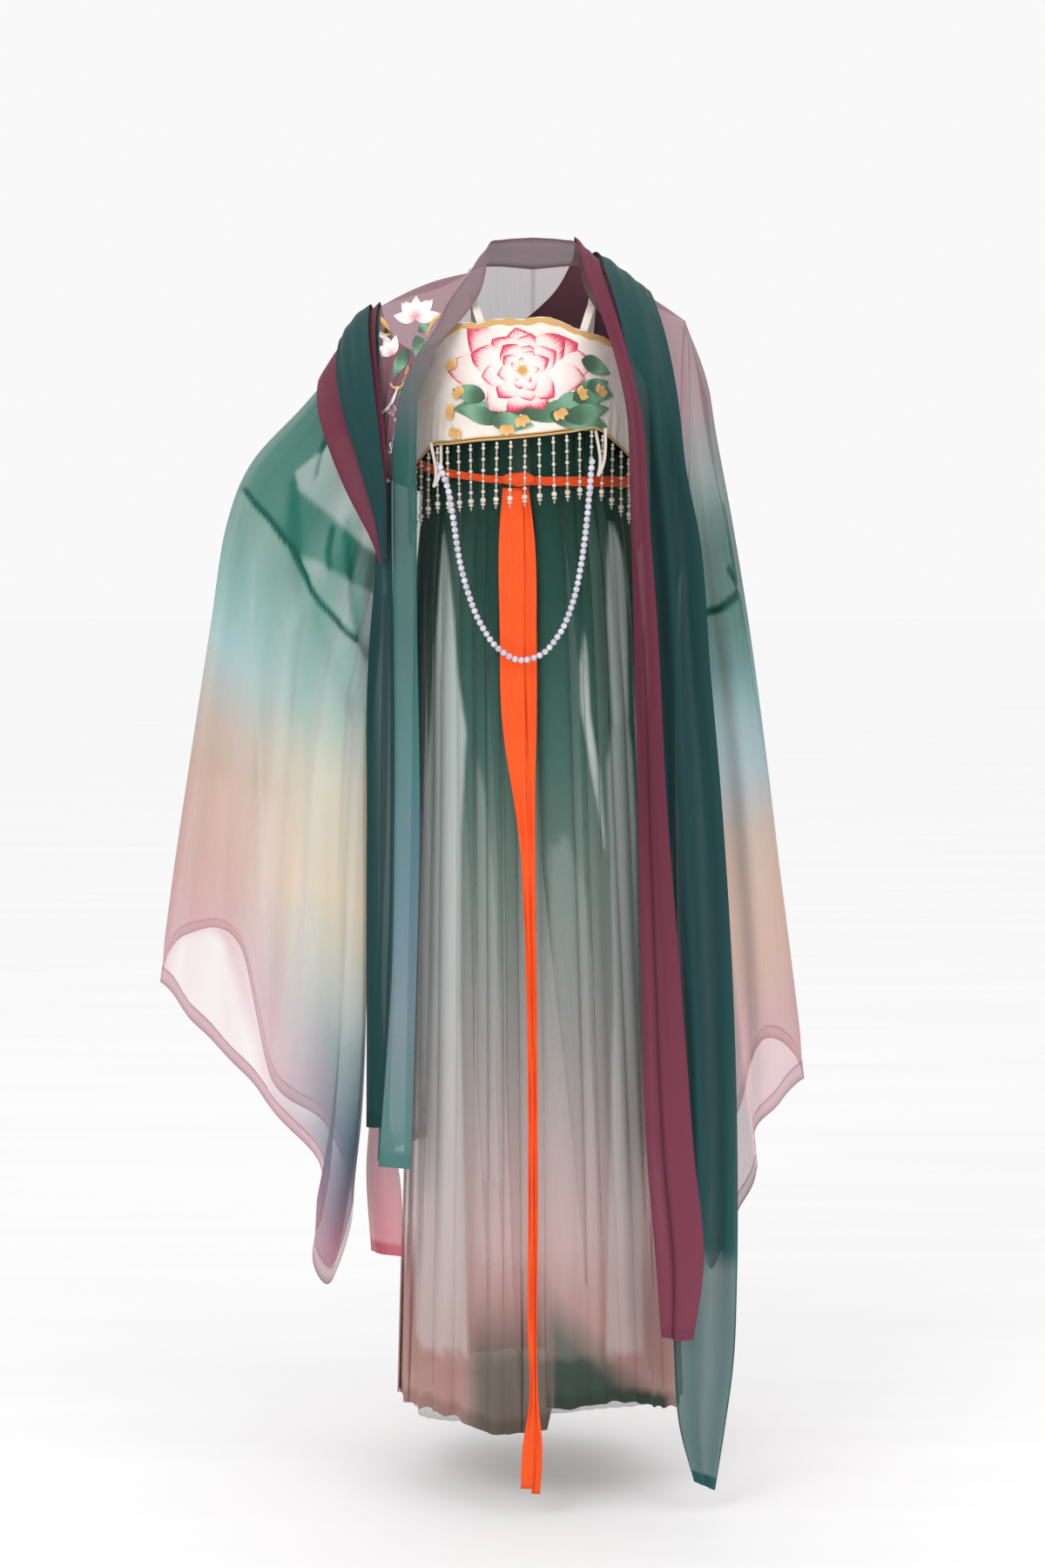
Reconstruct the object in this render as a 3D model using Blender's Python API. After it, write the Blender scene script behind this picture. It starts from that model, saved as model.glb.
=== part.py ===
"""A worn hanfu set: wide-sleeved open robe, pleated chest-high skirt, embroidered bodice with bead
fringe, ribbon belt and two-colour shawl. Metres, +Z up, -Y the wearer's front, +X the wearer's left.
The origin is at the base of the neck, midway between the two neck points of the shoulder line."""

import math

import bpy
import numpy as np

# ---- driving dimensions -------------------------------------------------------------------------
CLOTH = 0.0012  # wall of one layer of cloth
SEAM = 0.0003  # gap between pieces sewn edge to edge
HALF_SEAM = SEAM / 2
SHOULDER = 0.1853  # half the width between the two armhole seams
ARMHOLE_TOP = {-1: 0.066, 1: 0.084}  # below the neck point: the bent right arm's side, and the left
UNDERARM = 0.37  # the armholes' bottom below the neck point
ARMHOLE_DEPTH = 0.095  # half the armhole's width, front to back
ROBE_HEM, ROBE_BACK_HEM = 1.11, 1.13
ROBE_BAND_WALL = 0.0016  # folded double
SHOULDER_RISE = 0.006  # how far a front panel's middle stands up on the shoulder
CHEST_FULLNESS = 0.010  # how far it stands out over the chest
SIDE_FULLNESS = 0.003  # and sideways below the chest
CHEST_FOOT = 0.4  # the chest's lower limit
BACK_FOLDS = 0.006  # depth of the back panel's soft folds
SLEEVE_RIPPLE = 0.008
SLEEVE_LENGTH = 0.95  # along the seam, from armhole to cuff

SKIRT_TOP, SKIRT_HEM = 0.205, 1.432
UNDER_HEM, LINING_HEM = 1.445, 1.278
UNDER_INSET, LINING_INSET, WAISTBAND_INSET = 0.0125, 0.021, 0.004  # inside the outer layer
SKIRT_ROWS = np.array((0, 0.06, 0.13, 0.27, 0.47, 0.72, 1.0))  # shares of its length, from the gathers
WAISTBAND_TOP, WAISTBAND_FOOT = 0.135, 0.2035
WRAP_EDGE = math.radians(3.0)  # where the wrapped skirt's upper edge lies, right of the centre front
WRAP_LAP = math.radians(16.0)  # how far the skirt laps over itself
WRAP_STEP = 0.005  # the lap's two layers stand this far apart

BODICE_WALL = 0.0022  # satin with interlining
BODICE_RADIUS = 0.142
BODICE_BACK_TOP, BODICE_BACK_FOOT = 0.158, 0.235
SIDE_SEAM = math.radians(90)
SIDE_GAP = math.radians(0.15)  # half the gap between front and back panel there
SCALLOP, SCALLOP_ANGLE = 0.0035, 26  # the top edge's scallops: height, and degrees for each
TRIM_WALL, TOP_TRIM_WIDTH, FOOT_TRIM_WIDTH = 0.0014, 0.004, 0.003
LOTUS_WALL, LEAF_WALL, APPLIQUE_OFF = 0.0014, 0.0012, 0.0006
STRAP_HALF_WIDTH, STRAP_WALL = 0.005, 0.001

STRANDS = np.radians(np.linspace(-100, 100, 31))  # the bead fringe's strands, from the centre front
STRAND_ROOT = 0.0032
TAPE_HEIGHT, TAPE_WALL, TAPE_OFF = 0.0030, 0.0018, 0.0030
PEARL, SWAG_STEPS = 0.0076, 32

BELT_OFF, BELT_WALL = 0.0085, 0.0022  # the belt's outer face stands this far off the skirt's folds
TAIL_RIGHT_OFF, TAIL_LEFT_OFF = 0.0095, 0.0075
KNOT_SIZE = np.array((0.024, 0.0050, 0.0095))  # half its width, depth and height
KNOT_X, KNOT_DROP, KNOT_OFF = -0.018, 0.279, 0.0185

TEAL, MAUVE, SEA, ROSE = (0.06, 0.2, 0.19), (0.45, 0.28, 0.32), (0.3, 0.5, 0.46), (0.6, 0.33, 0.38)
PALE, SATIN, GOLD, PEARLY = (0.7, 0.72, 0.68), (0.85, 0.72, 0.6), (0.8, 0.5, 0.18), (0.85, 0.83, 0.8)
ORANGE, WINE, LEAF, PETAL = (0.9, 0.14, 0.02), (0.24, 0.05, 0.1), (0.12, 0.3, 0.16), (0.85, 0.45, 0.48)


def table(columns, rows):
    """A short table with named columns, as one array for each name."""
    return dict(zip(columns.split(), np.array(rows, float).T))


SKIRT = table("drop half_width half_depth centre fold", [
    (0.135, 0.127, 0.113, -0.010, 0.0015),
    (0.205, 0.126, 0.112, -0.010, 0.0020),
    (0.280, 0.124, 0.110, -0.010, 0.0025),
    (0.400, 0.132, 0.120, -0.008, 0.0065),
    (0.700, 0.142, 0.131, -0.002, 0.0110),
    (1.050, 0.154, 0.143, 0.004, 0.0140),
    (1.450, 0.167, 0.155, 0.008, 0.0165),
])
# Folds of the wrapped skirt: degrees from the centre front, each running to the next one's angle.
FOLD_ANGLES = (3, 20, 27, 34, 42, 52, 60, 72, 86, 98, 112, 124, 136, 150, 162, 176, 190, 202, 216, 230,
               242, 256, 268, 280, 294, 303, 311, 322, 332, 339, 346, 353, 363)
HEM_RISE = table("angle rise", [
    (3, 0.034), (40, 0.030), (58, 0.010), (80, 0.0), (180, 0.010), (290, 0.010), (320, 0.012), (344, 0.0),
    (363, 0.006), (379, 0.010)])

BODICE = table("drop half_width half_depth", [
    (0.080, 0.128, 0.108), (0.120, 0.135, 0.121), (0.170, 0.141, 0.137), (0.220, 0.142, 0.143),
    (0.290, 0.141, 0.143)])
BODICE_CENTRE = -0.010
BODICE_EDGES = table("angle top foot", [  # degrees from the centre front, towards the wearer's left
    (-100, 0.164, 0.277), (-90, 0.158, 0.272), (-72, 0.140, 0.262), (-60, 0.122, 0.250),
    (-49, 0.112, 0.236), (-38, 0.098, 0.2345), (-22, 0.094, 0.231), (-9, 0.092, 0.229),
    (8, 0.090, 0.225), (24, 0.098, 0.220), (35, 0.108, 0.216), (48, 0.114, 0.232),
    (62, 0.128, 0.250), (90, 0.158, 0.276), (100, 0.164, 0.282)])

# The robe's front band, from the hem up to the nape: its inner edge (towards the centre) and outer edge.
BAND = table("xi yi zi xo yo zo", [
    (0.148, -0.135, -1.110, 0.187, -0.120, -1.110),
    (0.140, -0.132, -0.860, 0.170, -0.118, -0.860),
    (0.136, -0.130, -0.650, 0.167, -0.116, -0.650),
    (0.139, -0.130, -0.380, 0.167, -0.116, -0.380),
    (0.138, -0.131, -0.300, 0.167, -0.116, -0.300),
    (0.137, -0.133, -0.220, 0.165, -0.116, -0.228),
    (0.133, -0.133, -0.172, 0.157, -0.115, -0.180),
    (0.122, -0.130, -0.149, 0.145, -0.112, -0.146),
    (0.112, -0.119, -0.122, 0.130, -0.105, -0.122),
    (0.090, -0.099, -0.096, 0.115, -0.088, -0.097),
    (0.065, -0.062, -0.058, 0.104, -0.056, -0.068),
    (0.057, -0.030, -0.026, 0.090, -0.026, -0.044),
    (0.055, 0.000, 0.006, 0.077, 0.000, -0.025),
    (0.036, 0.046, 0.018, 0.050, 0.054, -0.014),
    (0.000, 0.062, 0.022, 0.000, 0.077, -0.016),
])
RIDGE_START = 0.0258  # the shoulder seam's inner end below the neck point
SHOULDER_RIDGE = table("x share", [(0.077, 0), (0.11, 0.43), (0.15, 0.73), (SHOULDER, 1)])
ROBE = table("drop back side", [
    (0.02, 0.080, SHOULDER), (0.10, 0.124, SHOULDER), (0.16, 0.146, SHOULDER), (0.22, 0.154, SHOULDER),
    (0.37, 0.158, SHOULDER), (0.42, 0.160, 0.178), (0.70, 0.168, 0.173), (0.90, 0.180, 0.180),
    (1.13, 0.192, 0.189)])

# Each sleeve hangs between its top fold (along the arm, then free) and its bottom seam. x is outward.
SLEEVE_RIGHT = table("xt yt zt xb yb zb front back", [
    (0.1856, 0.00, -0.066, 0.1856, 0.00, -0.370, 0.095, 0.095),
    (0.223, 0.00, -0.122, 0.192, 0.00, -0.450, 0.094, 0.095),
    (0.279, 0.01, -0.187, 0.198, -0.01, -0.540, 0.096, 0.098),
    (0.345, 0.02, -0.258, 0.202, -0.02, -0.640, 0.100, 0.100),
    (0.376, 0.03, -0.330, 0.204, -0.03, -0.750, 0.104, 0.104),
    (0.398, 0.03, -0.460, 0.206, -0.04, -0.860, 0.108, 0.110),
    (0.420, 0.02, -0.600, 0.210, -0.05, -0.970, 0.112, 0.116),
    (0.445, 0.01, -0.760, 0.222, -0.07, -1.100, 0.114, 0.124),
    (0.465, 0.00, -0.903, 0.249, -0.09, -1.253, 0.110, 0.130),
])
SLEEVE_LEFT = table("xt yt zt xb yb zb front back", [
    (0.1856, 0.00, -0.084, 0.1856, 0.00, -0.370, 0.095, 0.095),
    (0.205, 0.00, -0.146, 0.190, 0.01, -0.460, 0.090, 0.095),
    (0.219, 0.01, -0.225, 0.194, 0.02, -0.560, 0.086, 0.095),
    (0.240, 0.02, -0.330, 0.197, 0.03, -0.660, 0.084, 0.095),
    (0.261, 0.02, -0.450, 0.200, 0.03, -0.770, 0.084, 0.100),
    (0.281, 0.02, -0.580, 0.203, 0.03, -0.880, 0.086, 0.108),
    (0.301, 0.02, -0.720, 0.207, 0.03, -1.000, 0.090, 0.116),
    (0.320, 0.01, -0.870, 0.213, 0.02, -1.130, 0.094, 0.124),
    (0.339, 0.00, -1.025, 0.224, 0.01, -1.270, 0.096, 0.130),
])
# How each cuff's edge leaves the plain ellipse: round is degrees from the top fold, by the front.
CUFF_RIGHT = table("round dx dy dz", [
    (0, 0, 0, 0), (40, -0.023, 0.006, 0.006), (70, -0.029, 0.004, 0.040), (100, -0.029, 0.0, 0.075),
    (130, -0.033, 0.004, 0.075), (155, 0.006, -0.020, 0.016), (180, 0, -0.010, -0.004),
    (205, -0.034, 0.0, 0.048), (235, -0.032, 0.0, 0.086), (262, -0.010, -0.020, 0.066),
    (292, -0.020, 0.0, 0.145), (325, -0.006, 0.0, 0.082), (360, 0, 0, 0)])
CUFF_LEFT = table("round dx dy dz", [
    (0, 0, 0, 0), (35, -0.022, 0.0, 0.004), (75, -0.024, 0.004, 0.040), (105, 0.006, 0.0, 0.050),
    (140, 0.008, 0.0, 0.040), (180, 0, 0, 0), (215, -0.010, 0.0, 0.040), (260, 0.0, 0.010, 0.084),
    (300, -0.014, 0.0, 0.090), (335, -0.004, 0.0, 0.036), (360, 0, 0, 0)])
CUFF_BAND = 0.022  # width of the cuffs' pink binding


def smooth(at, knots, values):
    """A curve through the table's values, with even slopes at its knots (cubic Hermite)."""
    at = np.clip(np.asarray(at, float), knots[0], knots[-1])
    slopes = np.gradient(values, knots)
    i = np.clip(np.searchsorted(knots, at, side="right") - 1, 0, len(knots) - 2)
    span = knots[i + 1] - knots[i]
    t = (at - knots[i]) / span
    near = (1 + 2 * t) * (1 - t) ** 2 * values[i] + t * (1 - t) ** 2 * span * slopes[i]
    far = t * t * (3 - 2 * t) * values[i + 1] + t * t * (t - 1) * span * slopes[i + 1]
    return near + far


def chord(points):
    """How far along its own length each point of a polyline lies, from 0 to 1."""
    steps = np.linalg.norm(np.diff(points, axis=0), axis=1)
    return np.concatenate([[0], np.cumsum(steps)]) / steps.sum()


def through(points, at):
    """Rows of the smooth curve through the given rows, at shares of its length."""
    points = np.array(points, float)
    knots = chord(points)
    return np.stack([smooth(at, knots, points[:, k]) for k in range(points.shape[1])], axis=-1)


def edge_of(tab, names):
    return np.stack([tab[name] for name in names.split()], axis=-1)


# ---- from grids of points to closed walls --------------------------------------------------------
def normals(grid, ring):
    """Unit normals of a grid whose rows run down and columns across."""
    if ring:
        across = np.roll(grid, -1, 1) - np.roll(grid, 1, 1)
    else:
        across = np.gradient(grid, axis=1)
    made = np.cross(across, np.gradient(grid, axis=0))
    return made / np.maximum(np.linalg.norm(made, axis=-1, keepdims=True), 1e-12)


def outward(grid, ring):
    """Normals that point away from each row's middle on a ring, or from the body's axis on a panel."""
    made = normals(grid, ring)
    middle = grid.mean(axis=1, keepdims=True) if ring else grid * (0, 0, 1)
    return made if ((grid - middle) * made).sum() > 0 else -made


def material(colour, roughness=0.7):
    name = "finish_" + "_".join(f"{round(c * 100):02d}" for c in colour)
    made = bpy.data.materials.get(name)
    if made is None:
        made = bpy.data.materials.new(name)
        made.use_nodes = True
        shader = made.node_tree.nodes["Principled BSDF"]
        shader.inputs["Base Color"].default_value = (*colour, 1)
        shader.inputs["Roughness"].default_value = roughness
    return made


def add_object(name, vertices, faces, colour):
    """An object from points and faces, turned so that its faces point out."""
    corners = np.array([[f[0], f[i], f[i + 1]] for f in faces for i in range(1, len(f) - 1)])
    a, b, c = (vertices[corners[:, k]] for k in range(3))
    if (a * np.cross(b, c)).sum() < 0:
        faces = [tuple(reversed(f)) for f in faces]
    mesh = bpy.data.meshes.new(name)
    mesh.from_pydata([tuple(v) for v in vertices.tolist()], [], faces)
    mesh.shade_smooth()
    mesh.set_sharp_from_angle(angle=math.radians(50))
    mesh.materials.append(material(colour))
    made = bpy.data.objects.new(name, mesh)
    bpy.context.scene.collection.objects.link(made)
    return made


def wall(name, grid, colour, thick=CLOTH, ring=False, limits=(), facing=None):
    """A closed wall whose outer face is the grid. facing holds its normals where a neighbour shares
    them. limits are (axis, sign, value): every point is kept where sign * coordinate >= sign * value."""
    inner = grid - (outward(grid, ring) if facing is None else facing) * thick
    skins = np.stack([grid, inner])
    for axis, sign, value in limits:
        skins[..., axis] = np.maximum(skins[..., axis] * sign, value * sign) * sign
    rows, cols = grid.shape[:2]
    count = rows * cols

    def at(skin, r, c):
        return skin * count + r * cols + c % cols

    faces = []
    foot, side = rows - 1, cols - 1
    for c in range(cols if ring else cols - 1):
        for r in range(rows - 1):
            faces.append((at(0, r, c), at(0, r + 1, c), at(0, r + 1, c + 1), at(0, r, c + 1)))
            faces.append((at(1, r, c), at(1, r, c + 1), at(1, r + 1, c + 1), at(1, r + 1, c)))
        faces.append((at(0, 0, c), at(0, 0, c + 1), at(1, 0, c + 1), at(1, 0, c)))
        faces.append((at(0, foot, c + 1), at(0, foot, c), at(1, foot, c), at(1, foot, c + 1)))
    if not ring:
        for r in range(rows - 1):
            faces.append((at(0, r + 1, 0), at(0, r, 0), at(1, r, 0), at(1, r + 1, 0)))
            faces.append((at(0, r, side), at(0, r + 1, side), at(1, r + 1, side), at(1, r, side)))
    return add_object(name, skins.reshape(-1, 3), faces, colour)


def strip(rows, along, across, folds=0):
    """A grid between two edges. Each row holds a point of the one (x, y, z) and of the other, and may
    hold how far the middle bows out and how deep the strip's lengthwise folds are."""
    both = through(rows, np.linspace(0, 1, along))
    c = np.linspace(0, 1, across)[None, :]
    near, far = both[:, None, :3], both[:, None, 3:6]
    grid = near + (far - near) * c[..., None]
    if both.shape[1] > 6:
        turn = np.linspace(0, 4, along)[:, None]
        wave = np.sin(2 * math.pi * folds * c + turn) - np.sin(turn) * (1 - c)
        swell = both[:, None, 6] * np.sin(math.pi * c) + both[:, None, 7] * wave
        grid = grid + outward(grid, False) * swell[..., None]
    return grid


# ---- skirt ---------------------------------------------------------------------------------------
def skirt_points(angle, drop, fold_share=1.0, inset=0.0):
    """Points of a skirt layer. Rounded folds stand out from the layer's ellipse, with sharp valleys."""
    width = smooth(drop, SKIRT["drop"], SKIRT["half_width"]) - inset
    depth = smooth(drop, SKIRT["drop"], SKIRT["half_depth"]) - inset
    centre = smooth(drop, SKIRT["drop"], SKIRT["centre"])
    folds = np.array(FOLD_ANGLES, float)
    degrees = (np.degrees(angle) - folds[0]) % 360 + folds[0]
    i = np.clip(np.searchsorted(folds, degrees, side="right") - 1, 0, len(folds) - 2)
    span = folds[i + 1] - folds[i]
    phase = np.sin(math.pi * (degrees - folds[i]) / span) ** 0.8
    size = smooth(drop, SKIRT["drop"], SKIRT["fold"]) * np.sqrt(span / 12) * fold_share
    out = size * phase
    x = centre + (width + out) * np.sin(angle)
    y = -(depth + out) * np.cos(angle)
    return np.stack(np.broadcast_arrays(x, y, -drop), axis=-1)


def fold_columns(shares):
    """Angles of the grid's columns, at these shares of every fold: 0 is its valley."""
    folds = zip(FOLD_ANGLES, FOLD_ANGLES[1:])
    return np.radians(np.concatenate([a + (b - a) * np.array(shares) for a, b in folds]))


def skirt_outer():
    """The wrapped layer: once round, and on over its own start by the lap."""
    lap = WRAP_EDGE + 2 * math.pi + WRAP_LAP * np.array((0, 0.1875, 0.4375, 0.75, 1))
    angles = np.concatenate([fold_columns((0, 0.33, 0.67)), lap])
    hem = SKIRT_HEM - smooth(np.degrees(angles), HEM_RISE["angle"], HEM_RISE["rise"])
    drop = SKIRT_TOP + SKIRT_ROWS[:, None] * (hem - SKIRT_TOP)[None, :]
    grid = skirt_points(angles[None, :], drop)
    turned = (angles - angles[0]) / (angles[-1] - angles[0])
    spiral = WRAP_STEP * (0.5 - turned)
    grid[..., 0] += spiral * np.sin(angles)
    grid[..., 1] -= spiral * np.cos(angles)
    wall("skirt_outer", grid, SEA)


def skirt_ring(name, columns, top, hem, rows, fold_share, inset, colour):
    drop = np.linspace(top, hem, rows)[:, None]
    wall(name, skirt_points(columns[None, :], drop, fold_share, inset), colour, ring=True)


def skirt_inner_layers():
    folds = fold_columns((0, 0.5))
    even = np.radians(np.arange(0, 360, 12))
    band = (WAISTBAND_TOP, WAISTBAND_FOOT, 2)
    skirt_ring("skirt_under", folds, SKIRT_TOP, UNDER_HEM, 4, 0.45, UNDER_INSET, TEAL)
    skirt_ring("skirt_lining", even, SKIRT_TOP, LINING_HEM, 5, 0.25, LINING_INSET, PALE)
    skirt_ring("skirt_waistband", even, *band, 0.0, WAISTBAND_INSET, TEAL)


# ---- bodice --------------------------------------------------------------------------------------
def on_bodice(angle, drop, out=0.0):
    width = smooth(drop, BODICE["drop"], BODICE["half_width"]) + out
    depth = smooth(drop, BODICE["drop"], BODICE["half_depth"]) + out
    x, y = BODICE_CENTRE + width * np.sin(angle), -depth * np.cos(angle)
    return np.stack(np.broadcast_arrays(x, y, -drop), axis=-1)


def bodice_edge(angle, which):
    """The scalloped top or the bottom edge, as a drop below the neck point."""
    edge = smooth(np.degrees(angle), BODICE_EDGES["angle"], BODICE_EDGES[which])
    if which == "top":
        edge = edge - SCALLOP * np.abs(np.sin(np.degrees(angle) * math.pi / SCALLOP_ANGLE))
    return edge


def bodice_grid(angles, shares, out=0.0):
    top, foot = bodice_edge(angles, "top"), bodice_edge(angles, "foot")
    drop = top + np.asarray(shares)[:, None] * (foot - top)
    return on_bodice(angles[None, :], drop, out)


def trim(name, angles, which, reach, colour):
    """A narrow raised border along one edge of the bodice, standing just off its face."""
    edge = bodice_edge(angles, which)
    drop = edge + np.array([0.0, reach])[:, None]
    wall(name, on_bodice(angles[None, :], drop, SEAM + TRIM_WALL), colour, thick=TRIM_WALL)


LOTUS = table("x low high", [  # a plain wide lotus: reach below and above the patch's middle line
    (-0.056, 0.001, 0.003), (-0.046, 0.008, 0.009), (-0.036, 0.015, 0.018), (-0.025, 0.020, 0.022),
    (-0.013, 0.023, 0.029), (0.0, 0.026, 0.034), (0.013, 0.023, 0.029), (0.025, 0.020, 0.022),
    (0.036, 0.015, 0.018), (0.046, 0.008, 0.009), (0.056, 0.001, 0.003)])
LEAVES = table("x low high", [  # plain lotus leaves under it, in three lobes
    (-0.088, 0.001, 0.004), (-0.074, 0.012, 0.010), (-0.058, 0.014, 0.006), (-0.040, 0.008, 0.002),
    (-0.020, 0.012, 0.000), (0.0, 0.015, 0.000), (0.020, 0.012, 0.000), (0.040, 0.008, 0.002),
    (0.058, 0.014, 0.006), (0.074, 0.012, 0.010), (0.088, 0.001, 0.004)])


def applique(name, shape, centre, colour, thick):
    """A raised patch: the points of the bodice's face inside the shape, moved out."""
    middle_angle, middle_drop = centre
    x = np.linspace(shape["x"][0], shape["x"][-1], 21)
    high, low = smooth(x, shape["x"], shape["high"]), smooth(x, shape["x"], shape["low"])
    drop = middle_drop + np.stack([-high, (low - high) / 2, low])
    grid = on_bodice(middle_angle + x[None, :] / BODICE_RADIUS, drop, APPLIQUE_OFF + thick)
    wall(name, grid, colour, thick=thick)


STRAP_LINE = table("x y z", [  # over the left shoulder, from inside the front panel to inside the back
    (0.058, -0.0940, -0.108), (0.065, -0.087, -0.086), (0.071, -0.055, -0.068), (0.074, 0.0, -0.050),
    (0.073, 0.050, -0.062), (0.070, 0.092, -0.106), (0.066, 0.1035, -0.135), (0.062, 0.1060, -0.168)])


def straps():
    for side, sign in (("right", -1), ("left", 1)):
        line = edge_of(STRAP_LINE, "x y z") * (sign, 1, 1)
        half = np.array((STRAP_HALF_WIDTH * sign, 0, 0))
        rows = np.concatenate([line - half, line + half], axis=1)
        wall("bodice_strap_" + side, strip(rows, 12, 2), SATIN, thick=STRAP_WALL)


def bodice_angles():
    """The front panel's columns: its two side seams, and one column above each strand between them."""
    edge = SIDE_SEAM - SIDE_GAP
    return np.concatenate([[-edge], STRANDS[np.abs(STRANDS) < edge], [edge]])


def bodice():
    front = bodice_angles()
    wall("bodice_front", bodice_grid(front, (0, 0.12, 0.4, 0.7, 1)), SATIN, thick=BODICE_WALL)
    back = np.linspace(SIDE_SEAM + SIDE_GAP, 3 * SIDE_SEAM - SIDE_GAP, 15)
    drop = np.linspace(BODICE_BACK_TOP, BODICE_BACK_FOOT, 3)[:, None]
    wall("bodice_back", on_bodice(back[None, :], drop), SATIN, thick=BODICE_WALL)
    trim("bodice_top_trim", front, "top", TOP_TRIM_WIDTH, GOLD)
    trim("bodice_foot_trim", front, "foot", -FOOT_TRIM_WIDTH, GOLD)
    applique("lotus_applique", LOTUS, (math.radians(2), 0.140), PETAL, LOTUS_WALL)
    applique("leaf_applique", LEAVES, (math.radians(4), 0.188), LEAF, LEAF_WALL)
    straps()


# ---- bead fringe and pearl swag --------------------------------------------------------------------
BEADS = table("drop radius", [  # a strand below its tape: small pearls, long beads, a large end pearl
    (0.004, 0.0024), (0.040, 0.0018), (0.069, 0.0025), (0.078, 0.0037), (0.083, 0.0009)])
ROD_SHARE = 0.75  # a strand's square rod reaches this share of its beads' radius


def fringe():
    """A narrow tape under the bodice's foot, with each strand grown out of the tape's lower face."""
    half_root = STRAND_ROOT / 2 / BODICE_RADIUS
    angles = np.sort(np.concatenate([STRANDS - half_root, STRANDS + half_root]))
    columns = np.union1d(bodice_angles(), STRANDS)
    top = np.interp(angles, columns, bodice_edge(columns, "foot")) + 2 * SEAM
    foot, back = top + TAPE_HEIGHT, TAPE_OFF - TAPE_WALL
    section = ((top, TAPE_OFF), (foot, TAPE_OFF), (foot, back), (top, back))
    corners = [on_bodice(angles, drop, out) for drop, out in section]
    vertices = [np.stack(corners, axis=1).reshape(-1, 3)]
    faces, count = [], len(angles)
    for i in range(count - 1):
        for k in range(4):
            if k == 1 and i % 2 == 0:
                continue  # a strand grows here
            a, b = i * 4 + k, i * 4 + (k + 1) % 4
            faces.append((a, b, b + 4, a + 4))
    faces.append((3, 2, 1, 0))
    faces.append(tuple((count - 1) * 4 + k for k in range(4)))
    made = count * 4
    for i in range(0, count, 2):
        ring = (i * 4 + 1, i * 4 + 2, i * 4 + 6, i * 4 + 5)
        middle = vertices[0][list(ring)].mean(axis=0)
        turn = (angles[i] + angles[i + 1]) / 2
        side = np.array((math.cos(turn), math.sin(turn), 0))
        front = np.array((math.sin(turn), -math.cos(turn), 0))
        for drop, radius in zip(BEADS["drop"], BEADS["radius"]):
            centre = middle - (0, 0, drop)
            square = [front - side, -front - side, -front + side, front + side]
            vertices.append(np.array([centre + radius * ROD_SHARE * s for s in square]))
            new = tuple(range(made, made + 4))
            faces += [(ring[k], ring[(k + 1) % 4], new[(k + 1) % 4], new[k]) for k in range(4)]
            ring, made = new, made + 4
        faces.append(tuple(ring))
    add_object("bead_fringe", np.concatenate(vertices), faces, PEARLY)


SWAG_ROUTE = (
    (-0.111, -0.158, -0.262), (-0.101, -0.160, -0.290), (-0.094, -0.161, -0.330),
    (-0.088, -0.161, -0.370), (-0.078, -0.161, -0.410), (-0.062, -0.161, -0.450),
    (-0.042, -0.161, -0.478), (-0.016, -0.161, -0.492), (0.008, -0.161, -0.486),
    (0.030, -0.161, -0.462), (0.046, -0.161, -0.425), (0.056, -0.161, -0.380),
    (0.062, -0.161, -0.335), (0.066, -0.160, -0.290), (0.069, -0.158, -0.255),
)


def pearl_swag():
    """The hanging string of pearls, as a round tube along its route."""
    points = through(SWAG_ROUTE, np.linspace(0, 1, SWAG_STEPS))
    curve = bpy.data.curves.new("pearl_swag", "CURVE")
    curve.dimensions = "3D"
    spline = curve.splines.new("POLY")
    spline.points.add(SWAG_STEPS - 1)
    for point, place in zip(spline.points, points):
        point.co = (*place, 1)
    curve.bevel_depth = PEARL / 2
    curve.bevel_resolution = 2
    curve.use_fill_caps = True
    curve.materials.append(material(PEARLY, 0.3))
    bpy.context.scene.collection.objects.link(bpy.data.objects.new("pearl_swag", curve))


# ---- belt ----------------------------------------------------------------------------------------
BELT_LINE = table("angle drop half", [
    (-180, 0.272, 0.006), (-110, 0.250, 0.006), (-75, 0.258, 0.006), (-40, 0.272, 0.0045),
    (-15, 0.279, 0.004), (10, 0.281, 0.005), (45, 0.281, 0.006), (90, 0.281, 0.007),
    (140, 0.276, 0.006), (180, 0.272, 0.006)])
TAIL_LEFT = table("x drop width", [
    (0.0005, 0.289, 0.013), (0.0008, 0.34, 0.015), (0.0008, 0.49, 0.0175), (0.0012, 0.57, 0.016),
    (-0.0015, 0.66, 0.010), (0.0015, 0.76, 0.007), (0.003, 0.97, 0.007), (0.000, 1.18, 0.0065),
    (-0.001, 1.28, 0.006), (0.0015, 1.39, 0.007), (0.005, 1.44, 0.010), (0.0025, 1.497, 0.006)])
TAIL_RIGHT = table("x drop width", [
    (-0.038, 0.289, 0.024), (-0.0405, 0.34, 0.0375), (-0.0405, 0.49, 0.0395), (-0.037, 0.57, 0.036),
    (-0.030, 0.66, 0.027), (-0.017, 0.76, 0.0165), (-0.009, 0.97, 0.0105), (-0.009, 1.18, 0.0075),
    (-0.0095, 1.28, 0.007), (-0.0065, 1.39, 0.0065), (-0.016, 1.44, 0.014), (-0.017, 1.490, 0.016)])
FOLD_REACH = 1.25  # the skirt's widest front fold against its table's fold


def tail(name, ribbon, out):
    """A hanging belt end: a strip in front of the skirt, from just under the knot to below its hem."""
    depth = smooth(ribbon["drop"], SKIRT["drop"], SKIRT["half_depth"])
    fold = smooth(ribbon["drop"], SKIRT["drop"], SKIRT["fold"])
    line = np.stack([ribbon["x"], -(depth + fold * FOLD_REACH + out), -ribbon["drop"]], axis=-1)
    width = ribbon["width"][:, None] * (1, 0, 0)
    wall(name, strip(np.concatenate([line, line + width], axis=1), 18, 3), ORANGE)


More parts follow.
